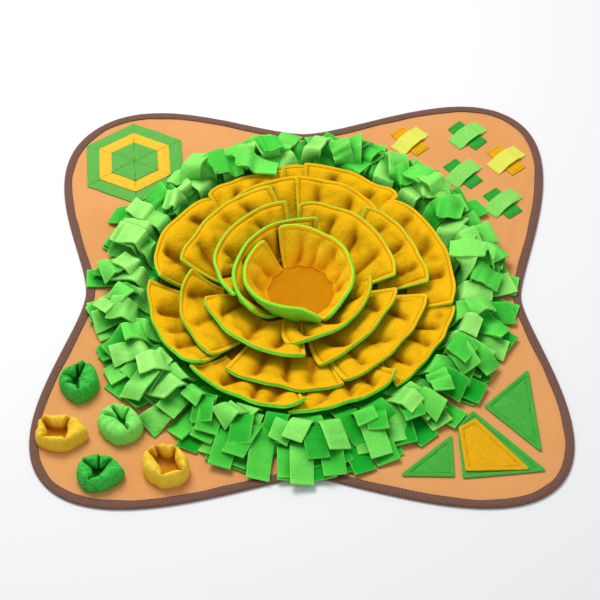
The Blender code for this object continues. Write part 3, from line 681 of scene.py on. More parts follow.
def smooth_through(stations, values, at):
    """Values at the given places on a curve that passes through the stations without overshoot."""
    stations = np.asarray(stations, float)
    values = np.asarray(values, float)
    slopes = np.diff(values) / np.diff(stations)
    tangents = np.zeros(len(values))
    tangents[0], tangents[-1] = slopes[0], slopes[-1]
    for index in range(1, len(values) - 1):
        before, after = slopes[index - 1], slopes[index]
        if before * after > 0:
            tangents[index] = 2 * before * after / (before + after)
    span = np.clip(np.searchsorted(stations, at) - 1, 0, len(slopes) - 1)
    length = stations[span + 1] - stations[span]
    t = (np.asarray(at, float) - stations[span]) / length
    return ((1 + 2 * t) * (1 - t) ** 2 * values[span] + t * (1 - t) ** 2 * length * tangents[span]
            + t * t * (3 - 2 * t) * values[span + 1] + t * t * (t - 1) * length * tangents[span + 1])


def polar(radius, direction):
    """Points at radii and directions in degrees from the rosette's centre."""
    angle = np.radians(direction)
    return ROSETTE_CENTRE[0] + radius * np.cos(angle), ROSETTE_CENTRE[1] + radius * np.sin(angle)


def distance(x, y, centre):
    """How far points are from a centre."""
    return np.hypot(x - centre[0], y - centre[1])


def sine(direction):
    """1 at the back of the mat and -1 at its front."""
    return math.sin(math.radians(direction))


def in_front(direction):
    """1 at the front of the mat, and 0 from its sides to its back."""
    return max(0.0, -sine(direction))


def heading(direction):
    """A step of length 1 in a direction in degrees, and the same turned left."""
    angle = math.radians(direction)
    return np.array((math.cos(angle), math.sin(angle))), np.array((-math.sin(angle), math.cos(angle)))


def aligned(x, y, direction):
    """The same places measured along a direction in degrees and across it."""
    out, _ = heading(direction)
    return x * out[0] + y * out[1], y * out[0] - x * out[1]


def seeded_waves(rng, low, high, counts, turned, wave):
    """A sum of waves with those counts in a turn, of sizes from low to high."""
    return sum(rng.uniform(low, high) * wave(count * turned + rng.uniform(0, 6)) for count in counts)


# ---------------- panel and binding
def outline_curve(steps, inset=0.0):
    """Points round the panel's outline, steps on each arc, moved inwards by the inset."""
    points = []
    for start, end in zip(OUTLINE, OUTLINE[1:] + OUTLINE[:1]):
        corners = []
        for (direction, reach, handle), side in ((start, 1.0), (end, -1.0)):
            out, along = heading(direction)
            corners.append((reach * out, reach * out + side * handle * along))
        (p0, p1), (p3, p2) = corners
        t = (np.arange(steps) / steps)[:, None]
        points.append((1 - t) ** 3 * p0 + 3 * t * (1 - t) ** 2 * p1 + 3 * t * t * (1 - t) * p2 + t ** 3 * p3)
    points = np.concatenate(points)
    run = np.roll(points, -1, axis=0) - np.roll(points, 1, axis=0)
    run /= np.linalg.norm(run, axis=1)[:, None]
    return points + np.asarray(inset)[..., None] * np.stack((-run[:, 1], run[:, 0]), axis=1)


RIM = outline_curve(40)
RIM_DIRECTIONS = np.unwrap(np.arctan2(RIM[:, 1], RIM[:, 0]))
RIM_DISTANCES = np.hypot(RIM[:, 0], RIM[:, 1])

WRINKLE_BEND = 400.0
# place, direction of the ridge, half length, half width, height
WRINKLES = (
    ((250, 110), 100, 60, 7, 1.2), ((285, 96), 75, 45, 5, 0.9), ((315, 190), 60, 50, 6, 1.0),
    ((-300, 150), 80, 55, 7, 1.0), ((-215, 300), 10, 60, 6, 0.8), ((-330, -120), 100, 50, 6, 1.0),
    ((-120, -320), 170, 60, 6, 1.0), ((90, -300), 20, 60, 6, 1.0), ((320, -80), 80, 55, 7, 1.2),
    ((-345, -200), 60, 40, 5, 0.8), ((150, -330), 175, 60, 6, 0.9), ((330, -200), 95, 50, 6, 1.0),
)


def panel_rise(x, y):
    """Height of the panel's soft wrinkles, which fade out at the binding and under the rosette."""
    direction = np.arctan2(y, x)
    direction = np.where(direction < RIM_DIRECTIONS[0], direction + 2 * math.pi, direction)
    share = np.hypot(x, y) / np.interp(direction, RIM_DIRECTIONS, RIM_DISTANCES)
    fade = (1 - smooth_step(0.925, 0.96, share)) * smooth_step(225.0, 250.0, distance(x, y, ROSETTE_CENTRE))
    rise = 0.7 * np.sin(x / 31.0 + 1.3 * np.sin(y / 47.0)) * np.sin(y / 37.0 + 0.8 * np.sin(x / 53.0))
    for (middle_x, middle_y), turn, half_length, half_width, height in WRINKLES:
        along, across = aligned(x - middle_x, y - middle_y, turn)
        across = across - along * along / WRINKLE_BEND
        rise = rise + 1.6 * height * np.exp(-(along / half_length) ** 2 - (across / half_width) ** 2)
    return rise * fade


def build_panel(cloth):
    """The panel: its wrinkled top, its edge pressed thin in the binding, and its plain underside."""
    rim = outline_curve(30, BINDING_THICK + SEAT)
    rim = np.vstack((rim, rim[:1]))
    top = np.linspace(0.0, 1.0, 72) ** 0.8
    pressed = 1.0 - BINDING_WIDTH / 360.0
    shares = np.concatenate((top, (1.0, pressed, pressed - 0.003, 0.5, 0.0)))
    low = BINDING_THICK + SEAT
    heights = np.concatenate((np.full(len(top), PANEL_THICK), (low, low, 0.0, 0.0, 0.0)))
    points = np.zeros((len(shares), len(rim), 3))
    points[..., :2] = shares[:, None, None] * rim[None]
    points[..., 2] = heights[:, None]
    points[:len(top), :, 2] += panel_rise(points[:len(top), :, 0], points[:len(top), :, 1])
    # 1 under the rosette, for the panel's painted shade there
    under = 1 - smooth_step(205.0, 235.0, distance(points[..., 0], points[..., 1], ROSETTE_CENTRE))
    mesh = shaped_grid("panel_cloth", points, {"under": under}, closed=True)
    piece = make_piece("panel", mesh, "panel_cloth", cloth)


def build_binding(rng):
    """The tape folded over the panel's edge, a little uneven along its inner edge."""
    top = DECK + BINDING_THICK
    # inset, height, whether it is on top
    section = (
        (11.6, DECK, 0), (11.9, (DECK + top) / 2, 1), (11.3, top, 1), (10.5, top + 0.1, 1),
        (BINDING_STITCH, top - 0.25, 1), (9.1, top + 0.15, 1), (7.5, top + 0.3, 1), (5.5, top + 0.3, 1),
        (3.0, top + 0.1, 1), (1.2, top - 0.3, 1), (0.2, top - 1.3, 1), (0.0, top / 2, 1), (0.3, 1.1, 0),
        (1.2, 0.25, 0), (3.0, 0.0, 0), (BINDING_WIDTH, 0.0, 0), (BINDING_WIDTH, BINDING_THICK, 0),
        (BINDING_THICK, BINDING_THICK, 0), (BINDING_THICK, DECK, 0), (11.6, DECK, 0))
    steps = 90
    count = 8 * steps
    turned = 2 * math.pi * np.arange(count) / count
    wander = seeded_waves(rng, 0.15, 0.4, (7, 19, 43, 71), turned, np.sin)
    pucker = seeded_waves(rng, 0.06, 0.12, (29, 67, 101, 149), turned, np.sin)
    points = np.zeros((len(section), count + 1, 3))
    facts = {"inset": np.zeros(points.shape[:2]), "top": np.zeros(points.shape[:2])}
    for row, (inset, height, on_top) in enumerate(section):
        ring = outline_curve(steps, inset + wander * inset / BINDING_WIDTH)
        points[row, :-1, :2] = ring
        points[row, :-1, 2] = height + on_top * pucker * (height > DECK + 0.6)
        points[row, -1] = points[row, 0]
        facts["inset"][row] = inset
        facts["top"][row] = on_top
    mesh = shaped_grid("binding_cloth", points, facts, closed=True)
    length = float(np.linalg.norm(np.diff(points[8, :, :2], axis=0), axis=1).sum())
    piece = make_piece("binding", mesh, "binding_tape", make_binding_tape(length))


# ---------------- rosette
def build_cup_floor(cloth):
    """The round floor of the cup, a little plump."""
    shares = np.concatenate((np.linspace(0.0, 1.0, 22), (1.0, 0.5, 0.0)))
    heights = np.concatenate((np.full(21, FELT_THICK), (FELT_THICK - 0.4, 0.0, 0.0, 0.0)))
    directions = np.linspace(0.0, 360.0, 97)
    x, y = polar(shares[:, None] * CUP_FLOOR_RADIUS, directions[None])
    plump = 1.6 * np.cos(shares[:, None] * math.pi / 2) ** 0.7 + 0.3 * np.sin(x / 9.0) * np.sin(y / 7.0)
    plump[21:] = 0.0
    z = DECK + heights[:, None] + plump * np.minimum(1.0, (1.0 - shares[:, None]) * 8.0)
    points = np.dstack((x, y, np.broadcast_to(z, x.shape)))
    mesh = shaped_grid("cup_floor_cloth", points, {"edge": 30.0, "painted_hollow_shade": 0.0, "rise": 0.12}, closed=True)
    piece = make_piece("cup_floor", mesh, "petal_fleece", cloth)


def steepness(across):
    """How much steeper the petals stand, from 0 at the back to 1 in front."""
    return unit(-np.sin(np.radians(across + 20.0)))


def petal_section(root, rim, height, across, t):
    """Radius and height at the share t of the way up a petal that leaves the panel flat."""
    base = DECK + PETAL_THICK / 2
    reach, rise = rim - root, height - base
    steep = steepness(across)
    radii = (root, root + ROOT_FLAT * reach, rim - (RIM_REACH - RIM_REACH_LESS * steep) * reach, rim)
    heights = (base, base, height - (RIM_RISE + RIM_RISE_MORE * steep) * rise, height)
    weights = ((1 - t) ** 3, 3 * t * (1 - t) ** 2, 3 * t * t * (1 - t), t ** 3)
    return (sum(w * r for w, r in zip(weights, radii)), sum(w * h for w, h in zip(weights, heights)))


def spaced(length, cell, both):
    """Shares from 0 to 1 along a length, closer together within reach of its stitched end or ends."""
    end = np.array(EDGE_ROWS) / length
    count = max(3, int((length - EDGE_ROWS[-1] * (2 if both else 1)) / cell))
    first = end[:-1] if both else np.zeros(0)
    middle = np.linspace(end[-1] if both else 0.0, 1.0 - end[-1], count + 1)
    return np.concatenate((first, middle, (1.0 - end[:-1])[::-1]))


def finer_points(points, times):
    """The same surface with that many times as many points."""
    for axis in (0, 1):
        count = points.shape[axis]
        at = np.linspace(0, count - 1, (count - 1) * times + 1)
        low = np.minimum(at.astype(int), count - 2)
        share = (at - low).reshape((-1, 1, 1) if axis == 0 else (1, -1, 1))
        points = np.take(points, low, axis=axis) * (1 - share) + np.take(points, low + 1, axis=axis) * share
    return points


def build_petal(row, cloth, rng):
    """One petal: soft pillows between uneven pleats that gather its root, with a row of stitches."""
    name, pleats, root, rim = row
    root_directions, root_radii = zip(*root)
    directions, radii, heights = zip(*rim)
    width = math.radians(directions[-1] - directions[0]) * np.mean(radii)
    reach = 1.15 * (np.mean(radii) - np.mean(root_radii)) + 0.5 * np.mean(heights)
    u, t = np.meshgrid(spaced(width, 4.6, True), spaced(reach, 5.0, False))
    from_rim, from_start = (1 - t) * reach, u * width
    from_side = np.minimum(from_start, width - from_start)
    edge = np.minimum(from_rim, from_side)
    # the free corners are rounded off
    inner_rim, inner_side = CORNER_ROUND - from_rim, CORNER_ROUND - from_side
    in_corner = (inner_rim > 0) & (inner_side > 0)
    shrink = np.where(in_corner, np.maximum(inner_rim, inner_side)
                      / np.maximum(np.hypot(inner_rim, inner_side), 1e-6), 1.0)
    t = np.where(in_corner, 1 - (CORNER_ROUND - inner_rim * shrink) / reach, t)
    side_share = (CORNER_ROUND - inner_side * shrink) / width
    u = np.where(in_corner, np.where(u < 0.5, side_share, 1 - side_share), u)
    root_across = root_directions[0] + (root_directions[-1] - root_directions[0]) * u
    across = directions[0] + (directions[-1] - directions[0]) * u
    root_radius = smooth_through(root_directions, root_radii, root_across)
    in_cup = name < "petal_2"
    if in_cup:
        behind = unit(0.5 + 1.2 * np.sin(np.radians(root_across)))
        root_radius = root_radius + 1.0 - 4.0 * behind * np.abs(np.sin(math.pi * u * pleats)) ** 0.7
    rim_radius = smooth_through(directions, radii, across)
    rim_height = smooth_through(directions, heights, across)
    phase = rng.uniform(0, 6)
    calm = 0.25 if name < "petal_3" else 1.0 - 0.65 * unit(np.sin(np.radians(across)) + 0.3)
    scallop = calm * -0.5 * np.cos(2 * math.pi * u * pleats)
    rim_radius = rim_radius + 0.5 * np.sin(from_start / 11.0 + phase) + 2.0 * scallop
    rim_height = rim_height + 1.0 * np.sin(from_start / 14.0 + 2 * phase) + 1.2 * scallop
    radius, height = petal_section(root_radius, rim_radius, rim_height, across, t)
    x, y = polar(radius, (1 - t) * root_across + t * across)
    points = np.dstack((x, y, height))
    normals = np.cross(np.gradient(points, axis=1), np.gradient(points, axis=0))
    normals /= np.maximum(np.linalg.norm(normals, axis=2), 1e-9)[:, :, None]
    normals *= np.sign(normals[:, :, 2].sum())
    depth = PLEAT_DEPTH * min(1.0, (rim_radius - root_radius).mean() / PLEAT_FULL_WIDTH,
                              rim_height.mean() / PLEAT_FULL_HEIGHT)
    swell = np.sin(math.pi * unit(t) ** (0.7 if in_cup else 1.7)) ** 0.8
    # pillows that bulge, and a pleat pressed in between each two
    spacing = width / pleats
    places = [0.0] + [(pleat + rng.uniform(-0.28, 0.28)) * spacing for pleat in range(1, pleats)] + [width]
    drifts = [rng.uniform(-0.7, 0.7) * spacing if 0 < pleat < pleats else 0.0 for pleat in range(pleats + 1)]
    courses = [place + drift * (t - 0.7) + 3.0 * np.sin(4.0 * t + rng.uniform(0, 6)) * (0 < place < width)
               for place, drift in zip(places, drifts)]
    share = np.zeros_like(t)
    for left, right in zip(courses, courses[1:]):
        share += unit((from_start - left) / np.maximum(right - left, 4.0))
    rise = 0.75 * depth * swell * np.abs(np.sin(math.pi * share)) ** 0.6
    for _ in range(pleats * 2):
        # a soft lump or a shallow dent
        away = np.hypot(from_start - rng.uniform(0.05, 0.95) * width, (t - rng.uniform(0.4, 0.9)) * reach)
        rise += rng.choice((-0.32, 0.28, 0.4)) * depth * swell * bell(away, rng.uniform(9.0, 19.0))
    sink = np.zeros_like(rise)
    for pleat, place in enumerate(courses):
        pleat_width = rng.uniform(0.05, 0.14) * spacing + 1.5
        fade, end = rng.uniform(0.45, 0.75), rng.uniform(0.84, 0.97)
        reaches = 1 - smooth_step(fade - 0.3 * in_cup, end - 0.16 * in_cup, t)
        press = np.exp(-(np.abs(from_start - place) / (pleat_width * (1.7 - 0.9 * t))) ** 1.4)
        sink += rng.uniform(0.5, 1.4) * (0.6 if pleat in (0, pleats) else 1.0) * press * reaches
        # it forks near its end
        fork = rng.uniform(0.5, 0.9) * rng.choice((-1, 1))
        branch = place + fork * spacing * unit(t - 0.6)
        ends = smooth_step(0.58, 0.66, t) * (1 - smooth_step(0.78, 0.94, t))
        sink += 0.4 * bell(from_start - branch, 0.06 * spacing + 1.5) * ends
    for _ in range(pleats * 3):
        # a short crease that runs aslant
        middle = np.array((rng.uniform(0.05, 0.95) * width, rng.uniform(0.45, 0.88) * reach))
        along, aside = aligned(from_start - middle[0], t * reach - middle[1], rng.uniform(15, 165))
        size = rng.uniform(10, 24)
        crease = np.exp(-(along / size) ** 2 - (aside / rng.uniform(3.0, 6.0)) ** 2)
        sink += rng.uniform(0.1, 0.35) * crease
    gather = np.sin(math.pi * unit(t) ** 0.9) ** 0.7
    steep = steepness(across)
    lift = rise - depth * 1.15 * sink * gather * (1 - 0.6 * steep * smooth_step(0.6, 0.85, t))
    lift = lift * (1 - 0.8 * steep * smooth_step(0.7, 0.9, t)) * (1 - (0.8 if in_cup else 0.0) * steep)
    press = 1.1 * bell(edge - STITCH_IN, 2.2) - 0.9 * bell(edge - 3.2, 2.6)
    press *= 0.3 if in_cup else 1.0
    inside = 1 - bell(edge, 9.5)
    points += normals * (lift * inside - press * np.minimum(1.0, t * 4))[:, :, None]
    points[:, :, 2] = np.maximum(points[:, :, 2], DECK + PETAL_THICK / 2)
    # painted shade down in the pleats and near the root, where the next petal's rim shades it
    painted_hollow_shade = unit(sink * gather * inside) + 0.5 * (1 - smooth_step(0.15, 0.5, t))
    mesh = shaped_grid(name + "_cloth", points,
                       {"edge": edge, "painted_hollow_shade": painted_hollow_shade, "rise": t, "trim": float(name in LIME_TRIMS)})
    face_up(mesh)
    front, back = cloth
    piece = make_piece(name, mesh, "petal_fleece", front, back)
    thicken(piece, PADDED_THICK, -0.3, back=1)
    modify(piece, "SUBSURF", levels=1, render_levels=1)
    flat = (width * FLAT_WIDER * MM, reach * FLAT_LONGER * MM)
    area = min(max(area_of(mesh), 0.3 * flat[0] * flat[1]), flat[0] * flat[1])
    return finer_points(points, 5) + np.array((0.0, 0.0, PADDED_THICK / 2))


# ---------------- strips
class Relief:
    """A height map of what lies on the panel so far, on which each new strip is laid."""

    def __init__(self):
        self.count = int(2 * RELIEF_REACH / RELIEF_CELL) + 1
        self.heights = np.zeros((self.count, self.count))
        steps = np.arange(self.count) * RELIEF_CELL - RELIEF_REACH
        self.x, self.y = np.meshgrid(steps, steps, indexing="ij")

    def cells(self, points):
        """Index pairs of the cells that hold the points."""
        index = np.rint((points[..., :2] + RELIEF_REACH) / RELIEF_CELL).astype(int)
        index = np.clip(index, 1, self.count - 2)
        return index[..., 0], index[..., 1]

    def below(self, points):
        """The highest thing in the cells at and around each point."""
        column, row = self.cells(points)
        return np.max([self.heights[column + i, row + j] for i in (-1, 0, 1) for j in (-1, 0, 1)], axis=0)

    def add(self, points):
        """Raises the map to the points' heights."""
        column, row = self.cells(points)
        np.maximum.at(self.heights, (column, row), points[..., 2])

    def soften(self, width):
        """Makes the soft map of the heights round about, for how deep a place lies."""
        self.soft = self.heights.copy()
        for axis in (0, 1):
            self.soft = np.max([np.roll(self.soft, k, axis) for k in range(-width, width + 1, 2)], axis=0)
        for axis in (0, 1):
            near_by = [np.roll(self.soft, k, axis) for k in range(-2 * width, 2 * width + 1, 2)]
            self.soft = np.mean(near_by, axis=0)

    def soft_height(self, points):
        """The soft map's height at each point."""
        column, row = self.cells(points)
        return self.soft[column, row]

    def add_where(self, mask, height):
        """Raises the masked cells to one height."""
        self.heights[mask] = np.maximum(self.heights[mask], height)

    def add_polygon(self, corners, height):
        """Raises the cells inside a polygon."""
        inside = np.zeros_like(self.x, dtype=bool)
        corners = np.asarray(corners, float)
        for (x0, y0), (x1, y1) in zip(corners, np.roll(corners, -1, axis=0)):
            crosses = (y0 > self.y) != (y1 > self.y)
            with np.errstate(divide="ignore", invalid="ignore"):
                inside ^= crosses & (self.x < (x1 - x0) * (self.y - y0) / (y1 - y0) + x0)
        self.add_where(inside, height)


def corner_relief():
    """The relief of the panel, its binding and the pieces that the strips' tips can reach."""
    relief = Relief()
    relief.add_polygon(outline_curve(9, -1.0), DECK + BINDING_THICK)
    inside = Relief()
    inside.add_polygon(outline_curve(9, BINDING_WIDTH + RELIEF_MARGIN), 1.0)
    relief.heights[inside.heights > 0] = PANEL_THICK
    from_rosette = distance(relief.x, relief.y, ROSETTE_CENTRE)
    relief.add_where((from_rosette > BACKING_INNER) & (from_rosette < BACKING_OUTER), DECK + BACKING_THICK)
    from_hexagon = distance(relief.x, relief.y, HEXAGON_CENTRE)
    for count, (_, reach) in enumerate(HEXAGONS):
        relief.add_where(from_hexagon < reach + RELIEF_MARGIN, DECK + (count + 1) * FELT_LAYER)
    for _, centre, *_ in CROSSES:
        near_cross = distance(relief.x, relief.y, centre) < CROSS_LENGTH / 2 + 2 * RELIEF_MARGIN
        relief.add_where(near_cross, DECK + 2 * FELT_LAYER)
    for _, corners, raised, _ in TRIANGLES:
        relief.add_polygon(corners, DECK + (2 if raised else 1) * FELT_LAYER)
    for _, _, height, (x, y), (half_x, half_y), *_ in POUCHES:
        share = np.hypot((relief.x - x) / (half_x + RELIEF_MARGIN), (relief.y - y) / (half_y + RELIEF_MARGIN))
        relief.add_where(share < 1, height + DECK)
    return relief


def lowest_rim(direction):
    """The lowest rim height of the outer petals near a direction."""
    found = [30.0]
    for name, _, _, rim in PETALS:
        if not name.startswith("petal_5"):
            continue
        directions, _, heights = zip(*rim)
        for turn in (-360, 0, 360):
            near_here = direction + turn + np.array((-6.0, -3.0, 0.0, 3.0, 6.0))
            near_here = near_here[(near_here >= directions[0]) & (near_here <= directions[-1])]
            if len(near_here):
                found.append(float(smooth_through(directions, heights, near_here).min()))
    return min(found)


class Strip:
    """One strip of fleece: straight out of its backing as far as its neck, then on at its own heading."""

    def __init__(self, root, direction, turn, length, width, crest, heights, fall, lean, finer, loose):
        """The heights are those of its start, its neck, its crest and its tip."""
        self.direction = direction
        self.width = width
        self.along = np.linspace(0.0, length, STRIP_STEPS)
        start, neck, peak, low = heights
        self.height = smooth_through((0.0, STRIP_NECK, crest, 0.5 * (crest + length), length),
                                     (start, neck, peak, fall * peak + (1 - fall) * low, low), self.along)
        out, first_side = heading(direction)
        onward, turn_side = heading(direction + turn)
        past = np.maximum(self.along - STRIP_NECK, 0.0)
        share = past / past[-1]
        bend = finer.uniform(-5.0, 5.0) * loose * share ** 2
        self.centres = (np.array(polar(root, direction)) + np.minimum(self.along, STRIP_NECK)[:, None] * out
                        + past[:, None] * onward + bend[:, None] * turn_side)
        blend = smooth_step(0.0, 0.25, share)[:, None]
        sides = (1 - blend) * first_side + blend * turn_side
        self.sides = sides / np.linalg.norm(sides, axis=1)[:, None]
        twist = finer.uniform(-0.28, 0.28) * loose
        self.leans = (lean + twist * share) * smooth_step(0.0, 0.5, share)
        self.cup = finer.uniform(-2.0, 2.6) * loose * smooth_step(0.1, 0.8, share) * (1 - 0.6 * share)
        # the whole tip or one corner of it lifts or droops
        tip = smooth_step(0.62, 1.0, share)
        self.tip_lift = finer.uniform(-1.0, 2.0) * loose * tip
        self.corner = finer.uniform(-1.6, 1.6) * loose * tip

    def surface(self, across_steps):
        """Points on the middle surface, a row for each step along."""
        across = np.linspace(-0.5, 0.5, across_steps)[None, :]
        offset = across * self.width
        z = (self.height[:, None] + self.leans[:, None] * offset + self.cup[:, None] * (4 * across ** 2 - 0.4)
             + self.tip_lift[:, None] + self.corner[:, None] * 2 * across)
        z = np.maximum(z, STRIP_THICK / 2 + 0.3)
        return np.dstack((self.centres[:, :1] + self.sides[:, :1] * offset,
                          self.centres[:, 1:] + self.sides[:, 1:] * offset, z))

    def settle(self, relief, ceiling):
        """Lifts the strip until it clears what is below it, bending softly, but not above the pile's top."""
        room = STRIP_THICK / 2 + 0.4
        reach = np.arange(-SOFT_REACH, SOFT_REACH + 1)
        kernel = bell(reach, 0.6 * SOFT_REACH)
        back = sine(self.direction)
        ceiling = ceiling * (1.0 + (0.1 if back > 0 else 0.22) * back)
        ceiling = np.maximum(ceiling - 6.0 * smooth_step(0.55, 1.0, self.along / self.along[-1]), 12.0)
        points = self.surface(SETTLE_STEPS)
        across = np.linspace(-0.5, 0.5, SETTLE_STEPS) * self.width
        slope = (relief.below(points) * across).sum(axis=1) / (across ** 2).sum()
        slope = np.convolve(np.pad(slope, 5, mode="edge"), np.full(11, 1 / 11), mode="valid")
        self.leans = 0.6 * self.leans + np.clip(slope, -0.5, 0.5) * smooth_step(6.0, 24.0, self.along)
        for _ in range(SETTLE_ROUNDS):
            points = self.surface(SETTLE_STEPS)
            lack = (relief.below(points) + room - points[..., 2]).max(axis=1)
            lack[self.along < 2.0 * STRIP_NECK] = 0.0
            if lack.max() <= 0.1:
                break
            around = np.pad(np.clip(lack, 0.0, None), SOFT_REACH)
            lifted = np.max([around[SOFT_REACH + k:SOFT_REACH + k + len(lack)] * kernel[SOFT_REACH + k]
                             for k in reach], axis=0)
            lifted = np.convolve(np.pad(lifted, 2, mode="edge"), SOFTENING, mode="valid")
            self.height += 0.9 * lifted * smooth_step(1.0, STRIP_NECK + 10.0, self.along)
            over = np.clip(self.height - ceiling + 4.0, 0.0, None)
            self.height -= over * over / (over + 4.0)
        dense = self.surface(41)
        dense[..., 2] += STRIP_THICK / 2
        for share in (0.0, 0.33, 0.67):
            relief.add(dense[:-1] * (1 - share) + dense[1:] * share)

    def mesh(self, relief):
        """The strip's sheet, with its tint, its distance in from the cut edges and how deep it lies."""
        points = self.surface(8)
        across = np.linspace(-0.5, 0.5, 8)[None, :]
        edge = np.minimum((0.5 - np.abs(across)) * self.width, (self.along[-1] - self.along)[:, None])
        # how far below the pile round about the strip lies, for its painted shade
        deep = unit((relief.soft_height(points) - points[..., 2] - 1.5) / 10.0)
        return shaped_grid("strip", points, {"edge": edge, "tint": self.tint, "deep": deep})


def beside_hexagon(direction):
    """How much shorter the strips are that would cover the hexagon."""
    return 24.0 * math.exp(-((direction - 136.0) / 11.0) ** 2)


def cad_strip(row, width, direction, rng, finer, loose):
    """A strip of the sewn rows, where its solid lies, a little longer and looser."""
    _, root, tip, tip_spread, crest_height, tip_height, turn, _ = row
    turned = rng.uniform(-turn, turn) * (1.5 + 0.7 * sine(direction))
    length = tip + rng.uniform(-tip_spread, tip_spread) - root
    crest = STRIP_NECK + rng.uniform(0.25, 0.45) * (length - STRIP_NECK)
    lift = 1.0 + STRIP_BACK_LIFT * sine(direction)
    neck = STRIP_LOW + BACKING_THICK
    peak = max(neck, STRIP_LOW + crest_height * lift * rng.uniform(0.7, 1.25))
    tip_rest = STRIP_LOW + tip_height * lift * rng.uniform(0.0, 1.6)
    if root + crest < UNDER_RIM:
        peak = min(peak, lowest_rim(direction) - RIM_CLEARANCE)
    fall = rng.uniform(0.35, 0.65)
    lean = math.tan(math.radians(rng.uniform(-STRIP_ROLL, STRIP_ROLL)))
    longer = length + 5.0 + (16.0 if root > 217 else 7.0) * in_front(direction) ** 2
    heights = (DECK + BACKING_THICK / 2, neck, peak, tip_rest)
    return Strip(root, direction, turned, longer - beside_hexagon(direction), width, crest, heights, fall,
                 lean * loose, finer, loose)


def loose_strip(root, direction, turn, length, width, crest_height, tip_height, finer, loose=1.0):
    """A strip that stands up out of its backing and flops over."""
    crest = finer.uniform(0.30, 0.45) * length
    neck = min(STRIP_LOW + 0.55 * crest_height, lowest_rim(direction) - NECK_CLEARANCE)
    heights = (DECK + BACKING_THICK, neck, STRIP_LOW + crest_height, STRIP_LOW + tip_height)
    fall = finer.uniform(0.45, 0.7)
    return Strip(root, direction, turn, length, width, crest, heights, fall,
                 finer.uniform(-0.35, 0.35) * loose, finer, loose)


def spread_strips(row, rng):
    """Widths and directions of the strips of one row in a sector, with uneven gaps between them."""
    count, radius = row[:2]
    widths = [STRIP_WIDTH + rng.uniform(-STRIP_WIDTH_SPREAD, STRIP_WIDTH_SPREAD) for _ in range(count)]
    length = math.radians(SECTOR_TURN) * radius
    free = length - sum(widths) - BACKING_END_GAP - STRIP_GAP * count
    cuts = [0.0] + sorted(rng.uniform(0.0, free) for _ in range(count))
    place = (BACKING_END_GAP + STRIP_GAP) / 2
    spread = []
    for index, width in enumerate(widths):
        place += cuts[index + 1] - cuts[index] + width / 2
        spread.append((width, math.degrees(place / radius)))
        place += width / 2 + STRIP_GAP
    return spread


def tint_of(direction, lightness, finer):
    """A strip's green, from 0 for dark to 1 for light: its row's green, made paler on the left and right as
    painted light and darker in front as painted shade.
    """
    # painted light on the left and right, painted shade in front
    painted_light_bias = 0.17 * abs(math.cos(math.radians(direction))) - 0.2 * in_front(direction)
    painted_light_bias += 0.16 * max(0.0, -math.cos(math.radians(direction + 25.0)))
    return min(1.0, max(0.0, finer.choice(lightness) + painted_light_bias + finer.uniform(-0.08, 0.08)))


def lay_strips(petal_surfaces):
    """All the strips, laid row by row from the lowest, as a list for each sector, and their relief."""
    rng = random.Random(STRIP_SEED)
    finer = random.Random(STRIP_SEED + 1)
    relief = corner_relief()
    strips = []

    def lay(strip, tint, ceiling):
        strip.tint = tint
        strip.settle(relief, ceiling)
        strips.append(strip)

    def lay_singles(over_rims):
        for direction, root, turn, length, crest, tip_height, tint, loose, over in SINGLE_STRIPS:
            if over == over_rims:
                lay(loose_strip(root, direction, turn, length, STRIP_WIDTH, crest, tip_height, finer, loose),
                    tint, PILE_HIGH if over else PILE_SINGLES)

    for index, row in enumerate(STRIP_ROWS):
        places = []
        for sector in range(SECTORS):
            for width, direction in spread_strips(row, rng):
                direction += sector * SECTOR_TURN + ROW_TURN * index
                places.append((rng.random(), width, direction % 360.0))
        for _, width, direction in sorted(places):
            lay(cad_strip(row, width, direction, rng, finer, 0.35 + 0.2 * index),
                tint_of(direction, row[-1], finer), PILE_LOW + ROW_RISE * index)
    lay_singles(False)
    for layer, (count, root, tip, tip_spread, crest, tip_height, turn, lightness) in enumerate(TUFTS):
        start = finer.uniform(0, 360)
        order = list(range(count))
        finer.shuffle(order)
        for place in order:
            direction = (start + (place + finer.uniform(-0.35, 0.35)) * 360.0 / count) % 360.0
            lift = 1.0 + 0.35 * sine(direction)
            calm = 1.0 - 0.45 * in_front(direction)
            strip = loose_strip(
                root + finer.uniform(-3, 3), direction, calm * finer.uniform(-turn, turn),
                tip + finer.uniform(-tip_spread, tip_spread) - root - beside_hexagon(direction),
                STRIP_WIDTH + finer.uniform(-3.0, 1.0), crest * lift * finer.uniform(0.8, 1.2),
                tip_height * lift * finer.uniform(0.3, 1.5), finer)
            lay(strip, tint_of(direction, lightness, finer),
                PILE_TUFTS + TUFT_RISE * layer + 3.0 * len(strips) / 200.0)
    relief.soften(4)
    for surface in petal_surfaces:
        relief.add(surface)
    lay_singles(True)
    sectors = [[] for _ in range(SECTORS)]
    for strip in strips:
        sectors[int(strip.direction // SECTOR_TURN) % SECTORS].append(strip)
    return sectors, relief


